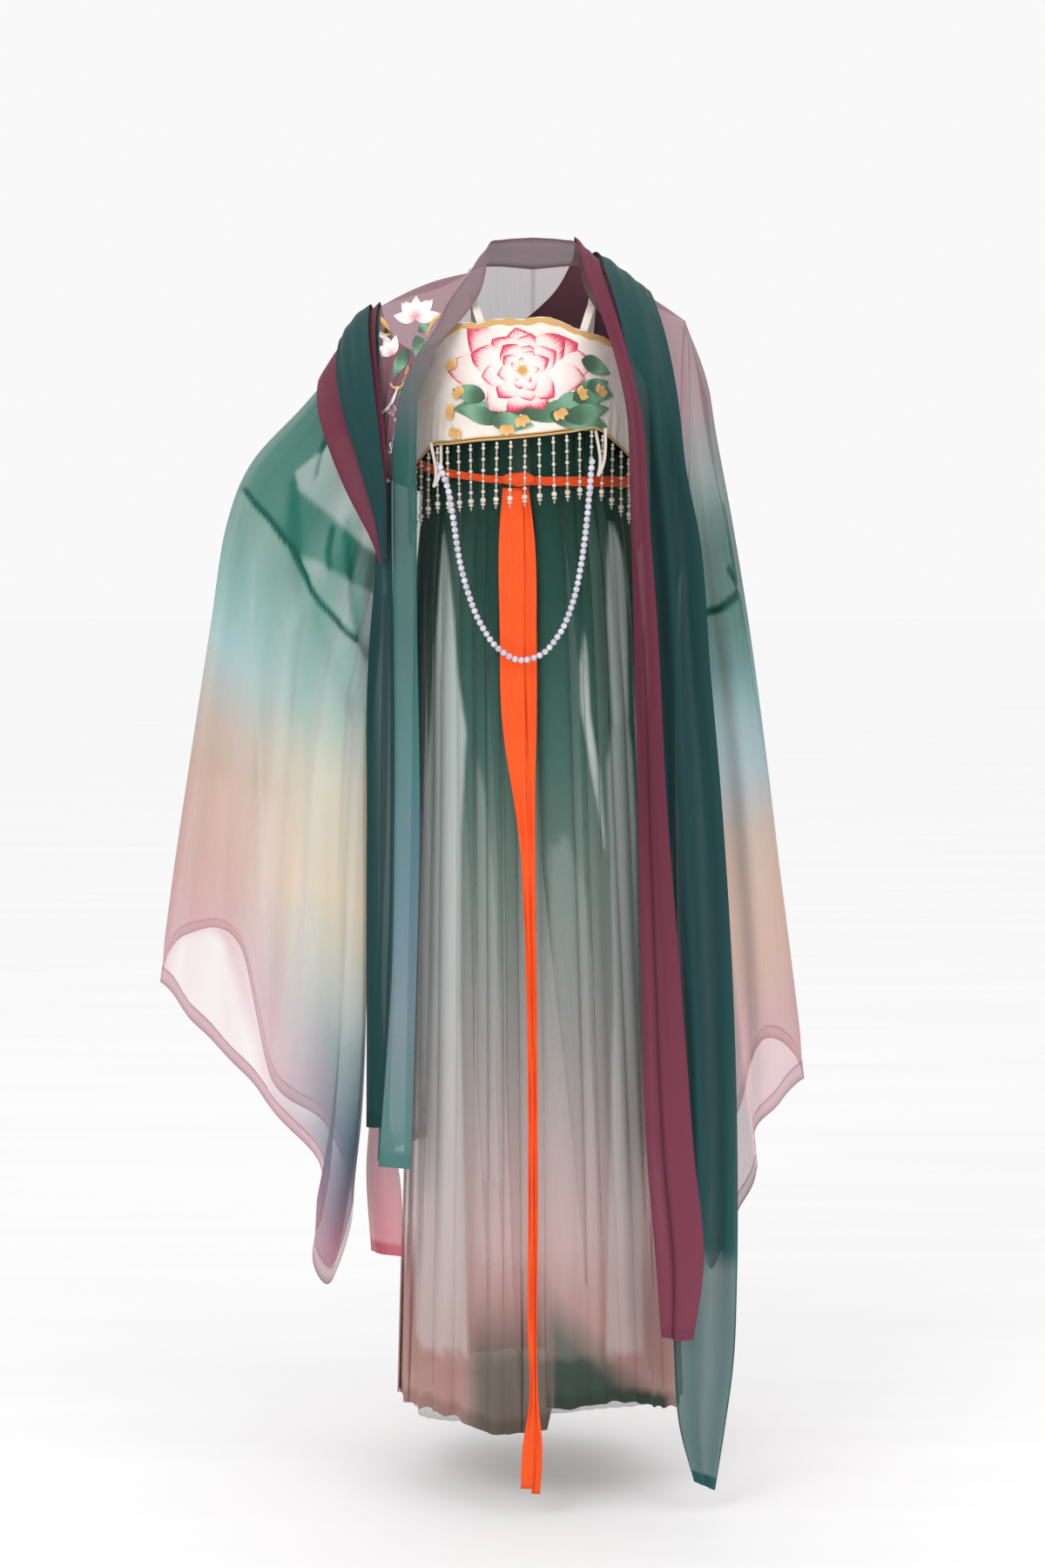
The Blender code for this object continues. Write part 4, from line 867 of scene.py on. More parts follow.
# Where only this one layer hides the white lining: how much of the lit lining's paleness is painted
# onto the layer there, as painted light, and an outline of x and drop from the front, in centimetres.
SINGLE = (
    (1, "-10.8 34  -11.7 45  -12.6 59  -13.8 70  -14.2 90  -14.5 134  -8 134  -8.8 90  -8.7 70 "
     "-8.1 58  -9.1 51  -9.6 44  -10.3 37"),
    (0.25, "-6.8 61  -7 90  -6.4 112  -3.6 112  -4 90  -4.7 75  -5.8 65"),
    (1, "9.2 33  8.9 37  8.9 44  9.2 50  9.6 57  11.5 57  11.4 41  10.9 37  10 34"),
    (1, "6.1 46  5.6 50  5.7 55  7 63  8.7 72.5  8 63  6.8 56  6.4 49"),
    (0.8, "9.6 57  8.9 62  9.2 70  9.7 90  8.8 134  13.5 134  12.7 90  12.5 70  12 61  11.5 57"),
    (0.2, "2 72  1.3 90  0.8 134  8 134  7.6 90  6.3 77  3.9 70"),
)
RELIEF = 0.30
WRAP_EDGE, LAP_END = 3.5, 379
LAYER_TURN, ROBE_TURN = 0.013, 0.014
TOP_RADIUS, SKIRT_RADIUS, HEM_RADIUS = 0.13, 0.14, 0.16
FOLD_FRONT, FOLD_MIDDLE, FOLD_REAR = 0.0006, -0.0011, -0.0026


def skirt_points(angle, drop, fold_share=1.0, inset=0.0):
    """Points of the solid's skirt: an ellipse at each drop, with a fold over each step of FOLD_ANGLES."""
    width = read(SKIRT, "half_width", drop) - inset
    depth = read(SKIRT, "half_depth", drop) - inset
    centre = read(SKIRT, "centre", drop)
    folds = np.array(FOLD_ANGLES, float)
    degrees = (np.degrees(angle) - folds[0]) % 360 + folds[0]
    i = np.clip(np.searchsorted(folds, degrees, side="right") - 1, 0, len(folds) - 2)
    span = folds[i + 1] - folds[i]
    phase = np.sin(math.pi * (degrees - folds[i]) / span) ** 0.8
    size = read(SKIRT, "fold", drop) * np.sqrt(span / 12) * fold_share
    out = size * phase
    return joined(centre + (width + out) * np.sin(angle), -(depth + out) * np.cos(angle), -drop)


def pushed(grid, angle, out):
    """The grid with its points moved away from the skirt's axis."""
    return grid + joined(out * np.sin(angle), -out * np.cos(angle), 0)


def pleated_layer():
    """The wrapped layer in knife pleats: each face ends in an edge, turns back under itself, and comes
    forward again as the next face. Its folds stand out less than the solid's, on the same mean line."""
    down = even(LONG_ROWS)[:, None]
    drop = SKIRT_TOP + down * (SKIRT_HEM - SKIRT_TOP)
    pieces, outs, before = [], [], 1.0
    face, under = even(9), even(5)[1:]
    for start, end in zip(FOLD_ANGLES, (*FOLD_ANGLES[1:], LAP_END)):
        share = np.interp(drop, TURN_DROPS, TURNED_UNDER.get(start, USUAL_TURN))
        fold = rise(share, 0, 0.2)
        blend = np.clip(face * 1.6, 0, 1)
        pieces.append(start + (end - start) * face + 0 * down)
        outs.append(FOLD_REAR * before * (1 - blend) + FOLD_FRONT * fold * blend)
        before = fold
        if end < FOLD_ANGLES[-1]:
            back = (end - start) * share * 0.97
            pieces += [end - back * under, end - back * (1 - under[:-1])]
            outs += [FOLD_MIDDLE * fold + 0 * under, FOLD_REAR * fold + 0 * under[:-1]]
    angles = np.radians(np.concatenate(pieces, axis=1))
    out = np.concatenate(outs, axis=1)
    ragged = 0.0035 * waves(angles * HEM_RADIUS, 0 * angles, 8, 5, 0.05, 1.0)
    whole = np.degrees(angles)
    beneath = whole > FOLD_ANGLES[-1]
    hem = SKIRT_HEM - read(HEM_RISE, "rise", whole - 360 * beneath) - np.abs(ragged)
    drop = SKIRT_TOP + down * (hem - SKIRT_TOP)
    relief = RELIEF * (1 - 0.65 * rise(drop, 0.95, 0.3))
    turned = (whole - FOLD_ANGLES[0]) / (LAP_END - FOLD_ANGLES[0])
    out = out * np.clip((drop - 0.19) / 0.2, 0.25, 1) + WRAP_STEP * (0.5 - turned)
    out = out + read(SKIRT, "fold", drop) * (1 - relief) * 0.8
    out = out + 0.0009 * fall(drop, 0.46, 0.16) * waves(angles * TOP_RADIUS, drop, 2, 5, 0.012, 1.2)
    out = out + 0.0014 * rise(drop, 0.40, 0.3) * waves(angles * SKIRT_RADIUS, drop, 3, 5, 0.070, 1.5)
    out = out + 0.0030 * rise(drop, 0.90, 0.4) * waves(angles * SKIRT_RADIUS, 0.3 * drop, 11, 5, 0.045, 1.0)
    grid = pushed(skirt_points(angles, drop, relief), angles, out)
    single = 0.0
    for share, corners in SINGLE:
        single = single + share * inside(grid[..., 0] * 100, drop * 100, rows_of(2, corners, 1), 0.45)
    single = single * (np.cos(angles) > 0)
    turn = drop > hem - LAYER_TURN
    density_and_painted_light = 0.45 * turn + 0.5 * fall(drop, 0.30, 0.07)
    density_and_painted_light = density_and_painted_light + 0.05 * waves(angles * SKIRT_RADIUS, drop, 5, 6, 0.06, 0.8)
    # Single places are made less see-through and take the pale dye: painted light standing in for the lit
    # white lining behind.
    density_and_painted_light = density_and_painted_light + fall(drop, 1.0, 0.4) * 0.3 * (1 - single) + 0.95 * single
    density_and_painted_light = density_and_painted_light + rise(drop, 1.21, 0.09) * (1.05 - 0.90 * single)
    density_and_painted_light = density_and_painted_light + 0.3 * rise(drop, 1.30, 0.06)
    degrees = (whole + 180) % 360 - 180
    lower = drop - 1.24 - 0.13 * np.clip(degrees - 4, 0, 50) / 43
    patch = rise(lower, 0, 0.06) * rise(degrees, WRAP_EDGE, 2) * fall(degrees, 60, 14)
    beside = rise(drop, 1.26, 0.08) * rise(degrees, -34, 10) * (degrees < WRAP_EDGE)
    band = turn * rise(degrees, WRAP_EDGE, 2) * fall(degrees, 64, 4)
    density_and_painted_light = density_and_painted_light + np.where(beneath, -0.8, 0.30 * patch)
    piece = cloth("skirt_pleated_layer", grid, SKIRT_CHIFFON, ["skirt_outer"], density_and_painted_light=density_and_painted_light,
                  second=np.maximum(np.maximum(patch, 0.75 * beside), band), pale=single)


def skirt_ring(name, node, top, hem, fold_share, inset, look, rise_by=0.0,
               rows=60):
    """A closed layer of the skirt. Its hem rises in three soft arcs, and most in front."""
    angles = whole_turn(360)[None, :]
    low = hem - rise_by * ((1 + np.sin(3 * angles + 0.7)) / 2 + 5 * np.clip(np.cos(angles - 0.35), 0, 1))
    drop = top + even(rows)[:, None] * (low - top)
    ripple = 0.0008 * rise(drop, top, 0.2) * waves(angles * SKIRT_RADIUS, drop, 7, 5, 0.060, 1.5)
    density_and_painted_light = 0.5 * (drop > low - 0.012) + 0.5 * rise(drop, 1.20, 0.2)
    grid = pushed(skirt_points(angles, drop, fold_share, inset), angles, ripple)
    piece = cloth(name, grid, look, [node], ring=True, density_and_painted_light=density_and_painted_light)


def skirt():
    pleated_layer()
    skirt_ring("skirt_under_layer", "skirt_under", SKIRT_TOP, UNDER_HEM, 0.25, UNDER_INSET, UNDER_CHIFFON,
               0.006)
    skirt_ring("skirt_lining_cloth", "skirt_lining", SKIRT_TOP, LINING_HEM + 0.04, 0.12, LINING_INSET,
               LINING)
    skirt_ring("skirt_waistband_cloth", "skirt_waistband", WAISTBAND_TOP, WAISTBAND_FOOT, 0.0,
               WAISTBAND_INSET, WAISTBAND, 0.0, 10)


# ---- belt ----
BELT_LINE = table("angle drop half", """
    -180 272 6   -110 250 6   -75 258 6   -40 272 4.5   -15 279 4   10 281 5   45 281 6   90 281 7
    140 276 6   180 272 6""")
TAIL_LEFT = table("x drop width", """
    -12.2 289 6   -11.5 340 12   -10.4 460 14.2   -9.9 556 13.7   -8.5 651 10.5   -4.7 794 7.2
    -1.5 970 6   0 1180 5   -1 1280 5   0.5 1390 6   0 1440 11   -2 1497 10""")
TAIL_RIGHT = table("x drop width", """
    -36.5 289 24   -40.5 340 29   -40 460 29.4   -38 556 28   -32.5 604 23.2   -24.5 651 15.8
    -16.5 710 10   -11 794 6.4   -7 970 5.6   -6 1180 6.2   -7 1280 7   -5.5 1390 7   -13 1440 14
    -15 1490 14""")
BELT_ROW = 2
BELT_OFF, FOLD_REACH = 0.0085, 1.25
KNOT_SIZE = np.array((0.019, 0.0050, 0.0085))
KNOT_X, KNOT_DROP, KNOT_OFF = -0.018, 0.279, 0.0185


def tail(name, node, ribbon, out):
    """One tail of the belt, in front of the skirt's folds, rumpled where it is narrow."""
    depth = read(SKIRT, "half_depth", ribbon["drop"])
    fold = read(SKIRT, "fold", ribbon["drop"])
    line = joined(ribbon["x"], -(depth + fold * FOLD_REACH + out), -ribbon["drop"])
    rows = np.concatenate([line, line + ribbon["width"][:, None] * (1, 0, 0)], axis=1)
    both = through(rows, even(200))
    f = even(15)
    grid = spread(both[:, :3], both[:, 3:], f)
    down = -grid[..., 2]
    narrow = fall(both[:, 3:4] - both[:, :1], 0.016, 0.016)
    rumple = 0.0016 * narrow * np.sin(2 * math.pi * (1.5 * f + 3.0 * down))
    rumple = rumple + 0.0007 * waves(f * 0.03, down, 9, 4, 0.02, 0.12)
    grid[..., 1] -= rumple + 0.0006 * edges(f, 0.07)
    piece = cloth(name, grid, RIBBON, [node], thick=0.0007)


def belt():
    """The belt's loop, its two tails and the knot."""
    degrees = np.linspace(-180, 180, 300, endpoint=False)
    drop = read(BELT_LINE, "drop", degrees)
    half = read(BELT_LINE, "half", degrees)
    angle = np.radians(degrees)
    width = SKIRT["half_width"][BELT_ROW] + SKIRT["fold"][BELT_ROW] + BELT_OFF
    depth = SKIRT["half_depth"][BELT_ROW] + SKIRT["fold"][BELT_ROW] + BELT_OFF
    s = np.linspace(-1, 1, 13)[:, None]
    fold = 0.0009 * np.sin(2 * math.pi * (1.2 * s + 5 * angle))
    fold = fold + 0.0005 * waves(angle * TOP_RADIUS, s * 0.006, 6, 4, 0.012, 0.02)
    x = SKIRT["centre"][BELT_ROW] + (width + fold) * np.sin(angle)
    grid = joined(x, -(depth + fold) * np.cos(angle), -(drop + s * half))
    piece = cloth("belt_ribbon", grid, RIBBON, ["belt_loop"], ring=True, thick=0.0012)
    tail("belt_ribbon_tail_right", "belt_tail_right", TAIL_RIGHT, 0.0095)
    tail("belt_ribbon_tail_left", "belt_tail_left", TAIL_LEFT, 0.0075)
    t = np.linspace(0.02, math.pi - 0.02, 41)[:, None]
    turn = whole_turn(36)
    radius = np.sin(t) ** 0.7 * (0.80 + 0.20 * np.abs(np.cos(1.5 * t)))
    radius = radius * (1 + 0.10 * np.sin(5 * turn + 6 * t))
    centre = (KNOT_X, -(SKIRT["half_depth"][BELT_ROW] + KNOT_OFF), -KNOT_DROP)
    knot = joined(-np.cos(t), radius * np.cos(turn), radius * np.sin(turn))
    cloth("belt_knot_ribbon", knot * KNOT_SIZE + centre, RIBBON, ["belt_knot"], ring=True)


# ---- robe ----
BAND_EDGES = edge_of(BAND, "xi yi zi xo yo zo")
BAND_RIDGE = chord(BAND_EDGES)[BAND_RIDGE_ROW]
BAND_ROWS = (0, 0.16, 0.33, 0.5, 0.64, 0.72, 0.77, 0.81, 0.85, 0.885, 0.92, 0.95, 0.975, 1.0)
ARMHOLE_SHARES = (0, 0.046, 0.112, 0.194, 0.31, 0.44, 0.59, 0.77, 1)
SIDE_DROPS = (0.47, 0.62, 0.79, 0.95, ROBE_HEM)
SHOULDER_DROP, CHEST_FOOT = 0.22, 0.4
SHOULDER_RISE, CHEST_FULLNESS, SIDE_FULLNESS = 0.006, 0.010, 0.003


def band_rows(side, at):
    """The inner and the outer edge of one half of the band, at shares of its length from the hem."""
    both = through(BAND_EDGES, at) * (side, 1, 1, side, 1, 1)
    return both[:, :3], both[:, 3:]


def robe_band():
    """The collar's band, in one piece from hem to hem round the neck."""
    f = even(11)
    halves = [spread(*band_rows(side, even(170)), f).swapaxes(0, 1) for side in (-1, 1)]
    grid = np.concatenate([halves[0], halves[1][:, -2::-1]], axis=1)
    u, v = np.meshgrid(*lengths(grid))
    soft = 0.0010 * waves(v, u, 21, 5, 0.03, 0.30)
    rim = 0.0006 * edges(f, 0.12)[:, None]
    along = np.minimum(u, u[0, -1] - u)
    density_and_painted_light = 0.35 * edges(f, 0.10)[:, None] + 0.4 * (along < 0.016)
    piece = cloth("robe_collar_band", moved(grid, False, soft + rim), BAND_CHIFFON,
                  ["robe_band"], density_and_painted_light=density_and_painted_light)


def armhole_depth(drop, top):
    """Half the armhole's width at a drop."""
    middle, half = (top + UNDERARM) / 2, (UNDERARM - top) / 2
    return ARMHOLE_DEPTH * np.sqrt(np.clip(1 - ((drop - middle) / half) ** 2, 0, 1))


def ridge_drop(x, top):
    """How far down the shoulder's ridge is at x."""
    return RIDGE_START + (top - RIDGE_START) * read(SHOULDER_RIDGE, "share", x)


def side_line(drop):
    """Where the robe's side is: the armhole's plane, and the side seam below it."""
    return np.where(drop <= UNDERARM, SHOULDER, read(ROBE, "side", drop))


def robe_front(side):
    """A front panel between its band and the armhole or side seam; its top row is the shoulder seam."""
    at = between(np.array(BAND_ROWS) * BAND_RIDGE, LONG_ROWS)[::-1]
    inner, seam = band_rows(side, at)
    top = ARMHOLE_TOP[side]
    coarse = np.concatenate([top + np.array(ARMHOLE_SHARES) * (UNDERARM - top), SIDE_DROPS])
    drops = between(coarse, LONG_ROWS)
    ahead = -np.maximum(armhole_depth(drops, top), HALF_SEAM)
    edge = joined(side_line(drops), ahead, -drops) * (side, 1, 1)
    onward = seam - inner
    start = seam + onward * 2 * SEAM / np.linalg.norm(onward, axis=-1, keepdims=True)
    f = even(45)
    grid = spread(start, edge, f)
    hump = np.sin(math.pi * f)
    on_shoulder = fall(drops - top, SHOULDER_DROP, SHOULDER_DROP)[:, None]
    on_chest = (drops < CHEST_FOOT)[:, None]
    grid[..., 2] += SHOULDER_RISE * hump * on_shoulder
    grid[..., 1] -= CHEST_FULLNESS * hump * (1 - on_shoulder) * on_chest
    grid[..., 0] += side * SIDE_FULLNESS * hump * ~on_chest
    grid[0, :, 1] = -HALF_SEAM
    grid[0, :, 2] = -ridge_drop(np.abs(grid[0, :, 0]), top)
    u, v = np.meshgrid(*lengths(grid))
    soft = 0.0014 * hump * rise(drops, top, 0.15)[:, None] * waves(u, v, 31 + side, 5, 0.03, 0.5)
    density_and_painted_light = 0.5 * (drops > ROBE_HEM - ROBE_TURN)[:, None] + 0.35 * (drops < top + 0.003)[:, None]
    hand = "right" if side < 0 else "left"
    piece = cloth("robe_panel_" + hand, moved(grid, False, soft), PANEL_CHIFFON,
                  ["robe_front_" + hand], density_and_painted_light=density_and_painted_light)
    return piece


BACK_NECK = ((0, 0.0774, -0.0166), (0.050, 0.0553, -0.0172), (0.0778, SEAM, -0.0262))
BACK_YOKE = 0.16


def robe_back_points(half, down, side):
    """Half of the back, from its middle seam to its side and from the ridge to the hem."""
    ridge = [(x, SEAM, -ridge_drop(x, ARMHOLE_TOP[side])) for x in SHOULDER_RIDGE["x"][1:]]
    top = through([*BACK_NECK, *ridge], half)
    drop = -top[..., 2] + down * (ROBE_BACK_HEM + top[..., 2])
    start = np.minimum(1, (drop + top[..., 2]) / BACK_YOKE)
    x = top[..., 0] + (half * side_line(drop) - top[..., 0]) * start
    at_side = np.maximum(armhole_depth(drop, ARMHOLE_TOP[side]), HALF_SEAM)
    back = read(ROBE, "back", drop)
    section = at_side + (back - at_side) * np.sqrt(np.clip(1 - half**2.4, 0, 1))
    ease = np.sqrt(np.clip(1 - (1 - start) ** 2, 0, 1))
    y = top[..., 1] + (section - top[..., 1]) * ease
    deepen = BACK_FOLDS * rise(drop, 0.3, 0.5)
    y = y + deepen * np.sin(side * half * 16) * (1 - half**4)
    return joined(x * side, y, -drop)


def robe_back():
    """The robe's back, with loose lengthwise folds below its yoke."""
    quarter = math.pi / 2 * 0.96
    half = np.sin(np.linspace(0, quarter, 75)) / math.sin(quarter)
    down = even(LONG_ROWS) ** 1.3
    left, right = (robe_back_points(half[None, :], down[:, None], side) for side in (1, -1))
    grid = np.concatenate([right[:, :0:-1], left], axis=1)
    grid[0, np.abs(grid[0, :, 0]) < 0.079, 2] += 0.0045
    u, v = np.meshgrid(*lengths(grid))
    x, drop = grid[..., 0], -grid[..., 2]
    loose = rise(drop, 0.15, 0.3) * fall(np.abs(x), SHOULDER, 0.05)
    soft = 0.0030 * loose * waves(u, v, 41, 6, 0.07, 1.2)
    density_and_painted_light = 0.5 * (drop > ROBE_BACK_HEM - ROBE_TURN) + 0.35 * np.exp(-((x / 0.0025) ** 2))
    piece = cloth("robe_back_panel", moved(grid, False, soft), BACK_CHIFFON, ["robe_back"],
                  density_and_painted_light=density_and_painted_light)


def sleeve_points(lines, cuff, side, turn, share):
    """A sleeve as ovals between its top and foot lines, with its mouth pulled into the cuff's shape."""
    knots = chord(edge_of(lines, "xt yt zt xb yb zb"))
    value = {name: smooth(share, knots, column) for name, column in lines.items()}
    top, foot = edge_of(value, "xt yt zt"), edge_of(value, "xb yb zb")
    ahead, over = np.sin(turn), np.cos(turn)
    depth = np.where(ahead > 0, value["front"], value["back"])
    grid = (top + foot) / 2 + (top - foot) / 2 * over[..., None]
    grid[..., 1] -= depth * ahead
    round_it = np.degrees(turn) % 360
    pull = rise(share, 0.25, 0.75) ** 2.2
    for k, name in enumerate(("dx", "dy", "dz")):
        grid[..., k] += pull * read(cuff, name, round_it)
    ripple = SLEEVE_RIPPLE * rise(share, 0.12, 0.5) * np.abs(ahead)
    grid[..., 1] -= ripple * (np.sin(7 * turn + 2 * share) + 0.4 * np.sin(9 * turn - 3 * share))
    return grid * (side, 1, 1)


# On the front of each sleeve, with x and z in millimetres. A crease has a width and a depth in metres,
# how much darker and less see-through it makes the cloth, and its line. That darkening is partly
# doubled cloth and partly painted shade in the crease; where it is below 0 it paints a light streak, a
# painted highlight. A patch of doubled or single cloth has its soft edge in metres, how much less it
# lets through, and its outline.
CREASES_RIGHT = (
    (0.003, 0.004, 1.9, "-358 -290  -313 -334  -290 -360  -271 -409  -242 -441  -213 -471"),
    (0.008, 0.004, 0.4, "-290 -282  -286 -350  -283 -448  -291 -481  -297 -560"),
    (0.0055, 0.004, 0.5, "-223 -328  -219 -389  -210 -464  -197 -497"),
    (0.0034, 0.003, 0.9, "-247 -219  -257 -247  -261 -274"),
    (0.004, 0.003, 0.7, "-243 -337  -248 -363  -245 -386"),
    (0.011, 0.004, 0.25, "-271 -395  -262 -440  -236 -500  -216 -560"),
    # These two are lighter: painted highlights, light streaks down the sleeve.
    (0.004, 0.002, -0.15, "-344 -372  -332 -646  -326 -859  -320 -1009"),
    (0.02, 0.006, -0.15, "-262 -600  -256 -760  -262 -960"),
)
PATCHES_RIGHT = (
    (0.004, 0.8, "-190 -100  -430 -100  -430 -290  -358 -290  -313 -334  -282 -370  -261 -376 "
     "-216 -402  -165 -436  -165 -376  -186 -370  -214 -349  -248 -318  -287 -287  -290 -269 "
     "-241 -232  -190 -215"),
    (0.004, -0.4, "-290 -269  -241 -232  -190 -215  -165 -370  -186 -370  -214 -349  -248 -318 "
     "-287 -287"),
    (0.006, -0.18, "-279 -376  -261 -378  -216 -404  -213 -468  -242 -438  -271 -405"),
    (0.01, 0.25, "-216 -404  -165 -440  -165 -700  -195 -700  -213 -470"),
    (0.014, 0.22, "-440 -290  -360 -290  -351 -367  -345 -480  -365 -640  -440 -640"),
    (0.03, -0.3, "-350 -660  -270 -660  -260 -860  -270 -1040  -335 -1010  -365 -860"),
    (0.014, -0.75, "-495 -872  -462 -868  -434 -838  -396 -825  -373 -838  -359 -879  -346 -931 "
     "-329 -995  -317 -1019  -330 -1080  -495 -960"),
)
CREASES_LEFT = (
    (0.003, 0.004, 1.9, "205 -452  211 -441  228 -434  248 -420  262 -400"),
    (0.0028, 0.002, 1.5, "238 -388  252 -410"),
    # This one is lighter: a painted highlight down the upper sleeve.
    (0.007, 0.004, -0.4, "196 -100  218 -180  232 -300"),
    (0.008, 0.001, 0.08, "212 -200  219 -320"),
)
PATCHES_LEFT = (
    (0.07, 0.6, "180 -300  270 -300  290 -540  180 -540"),
)


def sleeve(name, lines, cuff, side, look, creases, patches, seed, second=None):
    """A sleeve and its cuff's binding, from one surface. second holds where the cooler dye is whole,
    where it ends, and how low it starts to cloud the cloth."""
    turn = whole_turn(320)
    cut = 1 - CUFF_BAND / SLEEVE_LENGTH
    body_rows = 170
    shares = np.concatenate([np.linspace(0, cut, body_rows), np.linspace(cut, 1, 6)[1:]])[:, None]
    grid = sleeve_points(lines, cuff, side, turn[None, :], shares)
    u, v = np.meshgrid(*lengths(grid))
    slack = rise(shares, 0, 0.12) * np.clip((1 - shares) / 0.06, 0.3, 1)
    broad = waves(u, v, seed, 5, 0.15, 1.6)
    out = 0.0045 * slack * broad + 0.0004 * slack * waves(u, v, seed + 1, 5, 0.035, 0.5)
    front, behind = (np.clip(sign * np.sin(turn) * 3, 0, 1) for sign in (1, -1))
    density_and_painted_light = 0.10 * broad * slack + 0.4 * (shares < 0.012) - 0.2 * behind * rise(shares, 0.60, 0.15)
    x, z = grid[..., 0], grid[..., 2]
    # Creases sink the cloth and darken it with painted shade, partly doubled cloth; negative ones paint
    # highlights.
    for width, depth, more, line in creases:
        mark = np.exp(-((off_line(x, z, rows_of(2, line)) / width) ** 2)) * front
        out = out - depth * mark
        density_and_painted_light = density_and_painted_light + more * mark
    for soft, more, corners in patches:
        density_and_painted_light = density_and_painted_light + more * inside(x, z, rows_of(2, corners), soft) * front
    grid = moved(grid, True, out)
    grid[..., 0] = np.maximum(grid[..., 0] * side, SHOULDER + SEAM) * side
    cool = np.zeros(density_and_painted_light.shape)
    if second is not None:
        near, far, low = second
        far_here = far - 0.045 * rise(-z, 0.84, 0.16)
        cool = fall(np.abs(grid[..., 0]), far_here, far - near)
        density_and_painted_light = density_and_painted_light + 0.75 * cool * rise(-grid[..., 2], low, 0.15)
        density_and_painted_light = density_and_painted_light + 0.2 * fall(np.abs(x), 0.30, 0.03) * rise(-z, 1.05, 0.10)
    piece = cloth("sleeve_cloth_" + name, grid[:body_rows], look, ["robe_sleeve_" + name],
                  ring=True, density_and_painted_light=density_and_painted_light[:body_rows], second=cool[:body_rows])
    bind = moved(grid[body_rows - 1:], True, 0.0005)
    edge = np.array([0.50, 0.0, -0.1, 0.0, 0.2, 0.55])[:, None] - 0.18 * (np.sin(turn) < 0)
    binding = cloth("cuff_binding_" + name, bind, CUFF_CHIFFON, ["cuff_band_" + name],
                    ring=True, density_and_painted_light=edge)


# ---- shawl ----
# Rows of a strip from its start: a point of its near edge and one of its far edge, how far it bulges
# between them, and how deep its lengthwise folds are, all in millimetres.
SHAWL_WINE = rows_of(8, """
    -175 -127 -372 -184 -121 -378 0 0   -174 -127 -300 -194 -119 -350 0 0
    -176 -124 -235 -224 -112 -292 0 0   -185 -106 -160 -250 -92 -228 0 0
    -190 -62 -98 -262 -50 -185 0 0   -188 0 -61.5 -262 0 -154 5 0
    -178 70 -96 -254 78 -188 8 0   -140 100 -118 -206 132 -262 10 0
    -60 124 -105 -90 164 -300 20 0   20 98 -50 60 163 -262 26 0
    48 60 -8 124 127 -136 12 0   52 0 14 80 0 -10 0 0
    62 -57 -30 88 -65 -46 0 0   81 -109 -86 104 -120 -105 0 1
    97 -150 -142 118 -160 -165 0 2   108 -168 -195 128 -174 -215 0 3
    113 -172 -300 135 -178 -310 0 3.5   118 -173 -450 146 -179 -450 0 4
    123 -174 -650 157 -180 -650 0 4.5   128 -176 -861 174 -182 -861 0 5
    135 -179 -1073 191 -184 -1073 0 5.5   149 -182 -1242 203 -186 -1230 0 5.5
    154 -182 -1305 192 -186 -1307 0 5""")
SHAWL_GREEN = rows_of(8, """
    -175 -133 -370 -182 -129 -374 0 0   -175 -133 -300 -188 -129 -332 0 0
    -181 -130 -240 -208 -125 -262 0 0   -190 -113 -165 -228 -107 -196 0 0
    -198 -67 -103 -238 -63 -145 0 0   -199 0 -64.5 -237 0 -107 5 0
    -188 77 -92 -238 88 -153 8 0   -146 112 -124 -196 143 -236 12 0
    -62 136 -116 -86 174 -270 20 0   26 110 -64 66 174 -236 26 0
    64 68 -8 134 134 -132 14 0   83 0 -6 140 0 -47 2 0
    92 -68 -44 151 -68 -80 3 0   105 -118 -100 162 -112 -134 3 2
    114 -150 -160 170 -132 -190 3 4   120 -157 -226 178 -142 -262 0 5
    127 -159 -330 196 -144 -350 0 5.5   136 -159 -490 209 -146 -500 0 6
    148 -160 -650 223 -148 -650 0 6   160 -161 -861 238 -150 -861 0 6.5
    168 -163 -1073 246 -152 -1073 0 7   168 -165 -1240 247 -154 -1240 0 7
    170 -165 -1330 244 -154 -1340 0 6   177 -165 -1420 233 -154 -1430 0 4
    195 -165 -1488 222 -154 -1503 0 2""")
TAIL_GREEN = rows_of(8, """
    -169 -113 -280 -188 -108 -290 0 0   -169 -112 -384 -190 -106 -388 0 0
    -167 -106 -460 -197 -76 -470 0 2   -167 -104 -700 -201 -76 -700 0 3
    -170 -104 -900 -204 -76 -900 0 3   -176 -106 -1065 -206 -80 -1070 0 2""")
TAIL_WINE = rows_of(8, """
    -176.5 -44 -415 -184.5 -10 -419 0 0   -180 -44 -700 -190 -6 -700 0 0
    -187 -44 -900 -193 -6 -900 0 0   -176 -80 -1060 -203 -16 -1060 0 2
    -162 -104 -1135 -209 -34 -1135 0 4   -159 -111 -1225 -204 -50 -1232 0 4""")


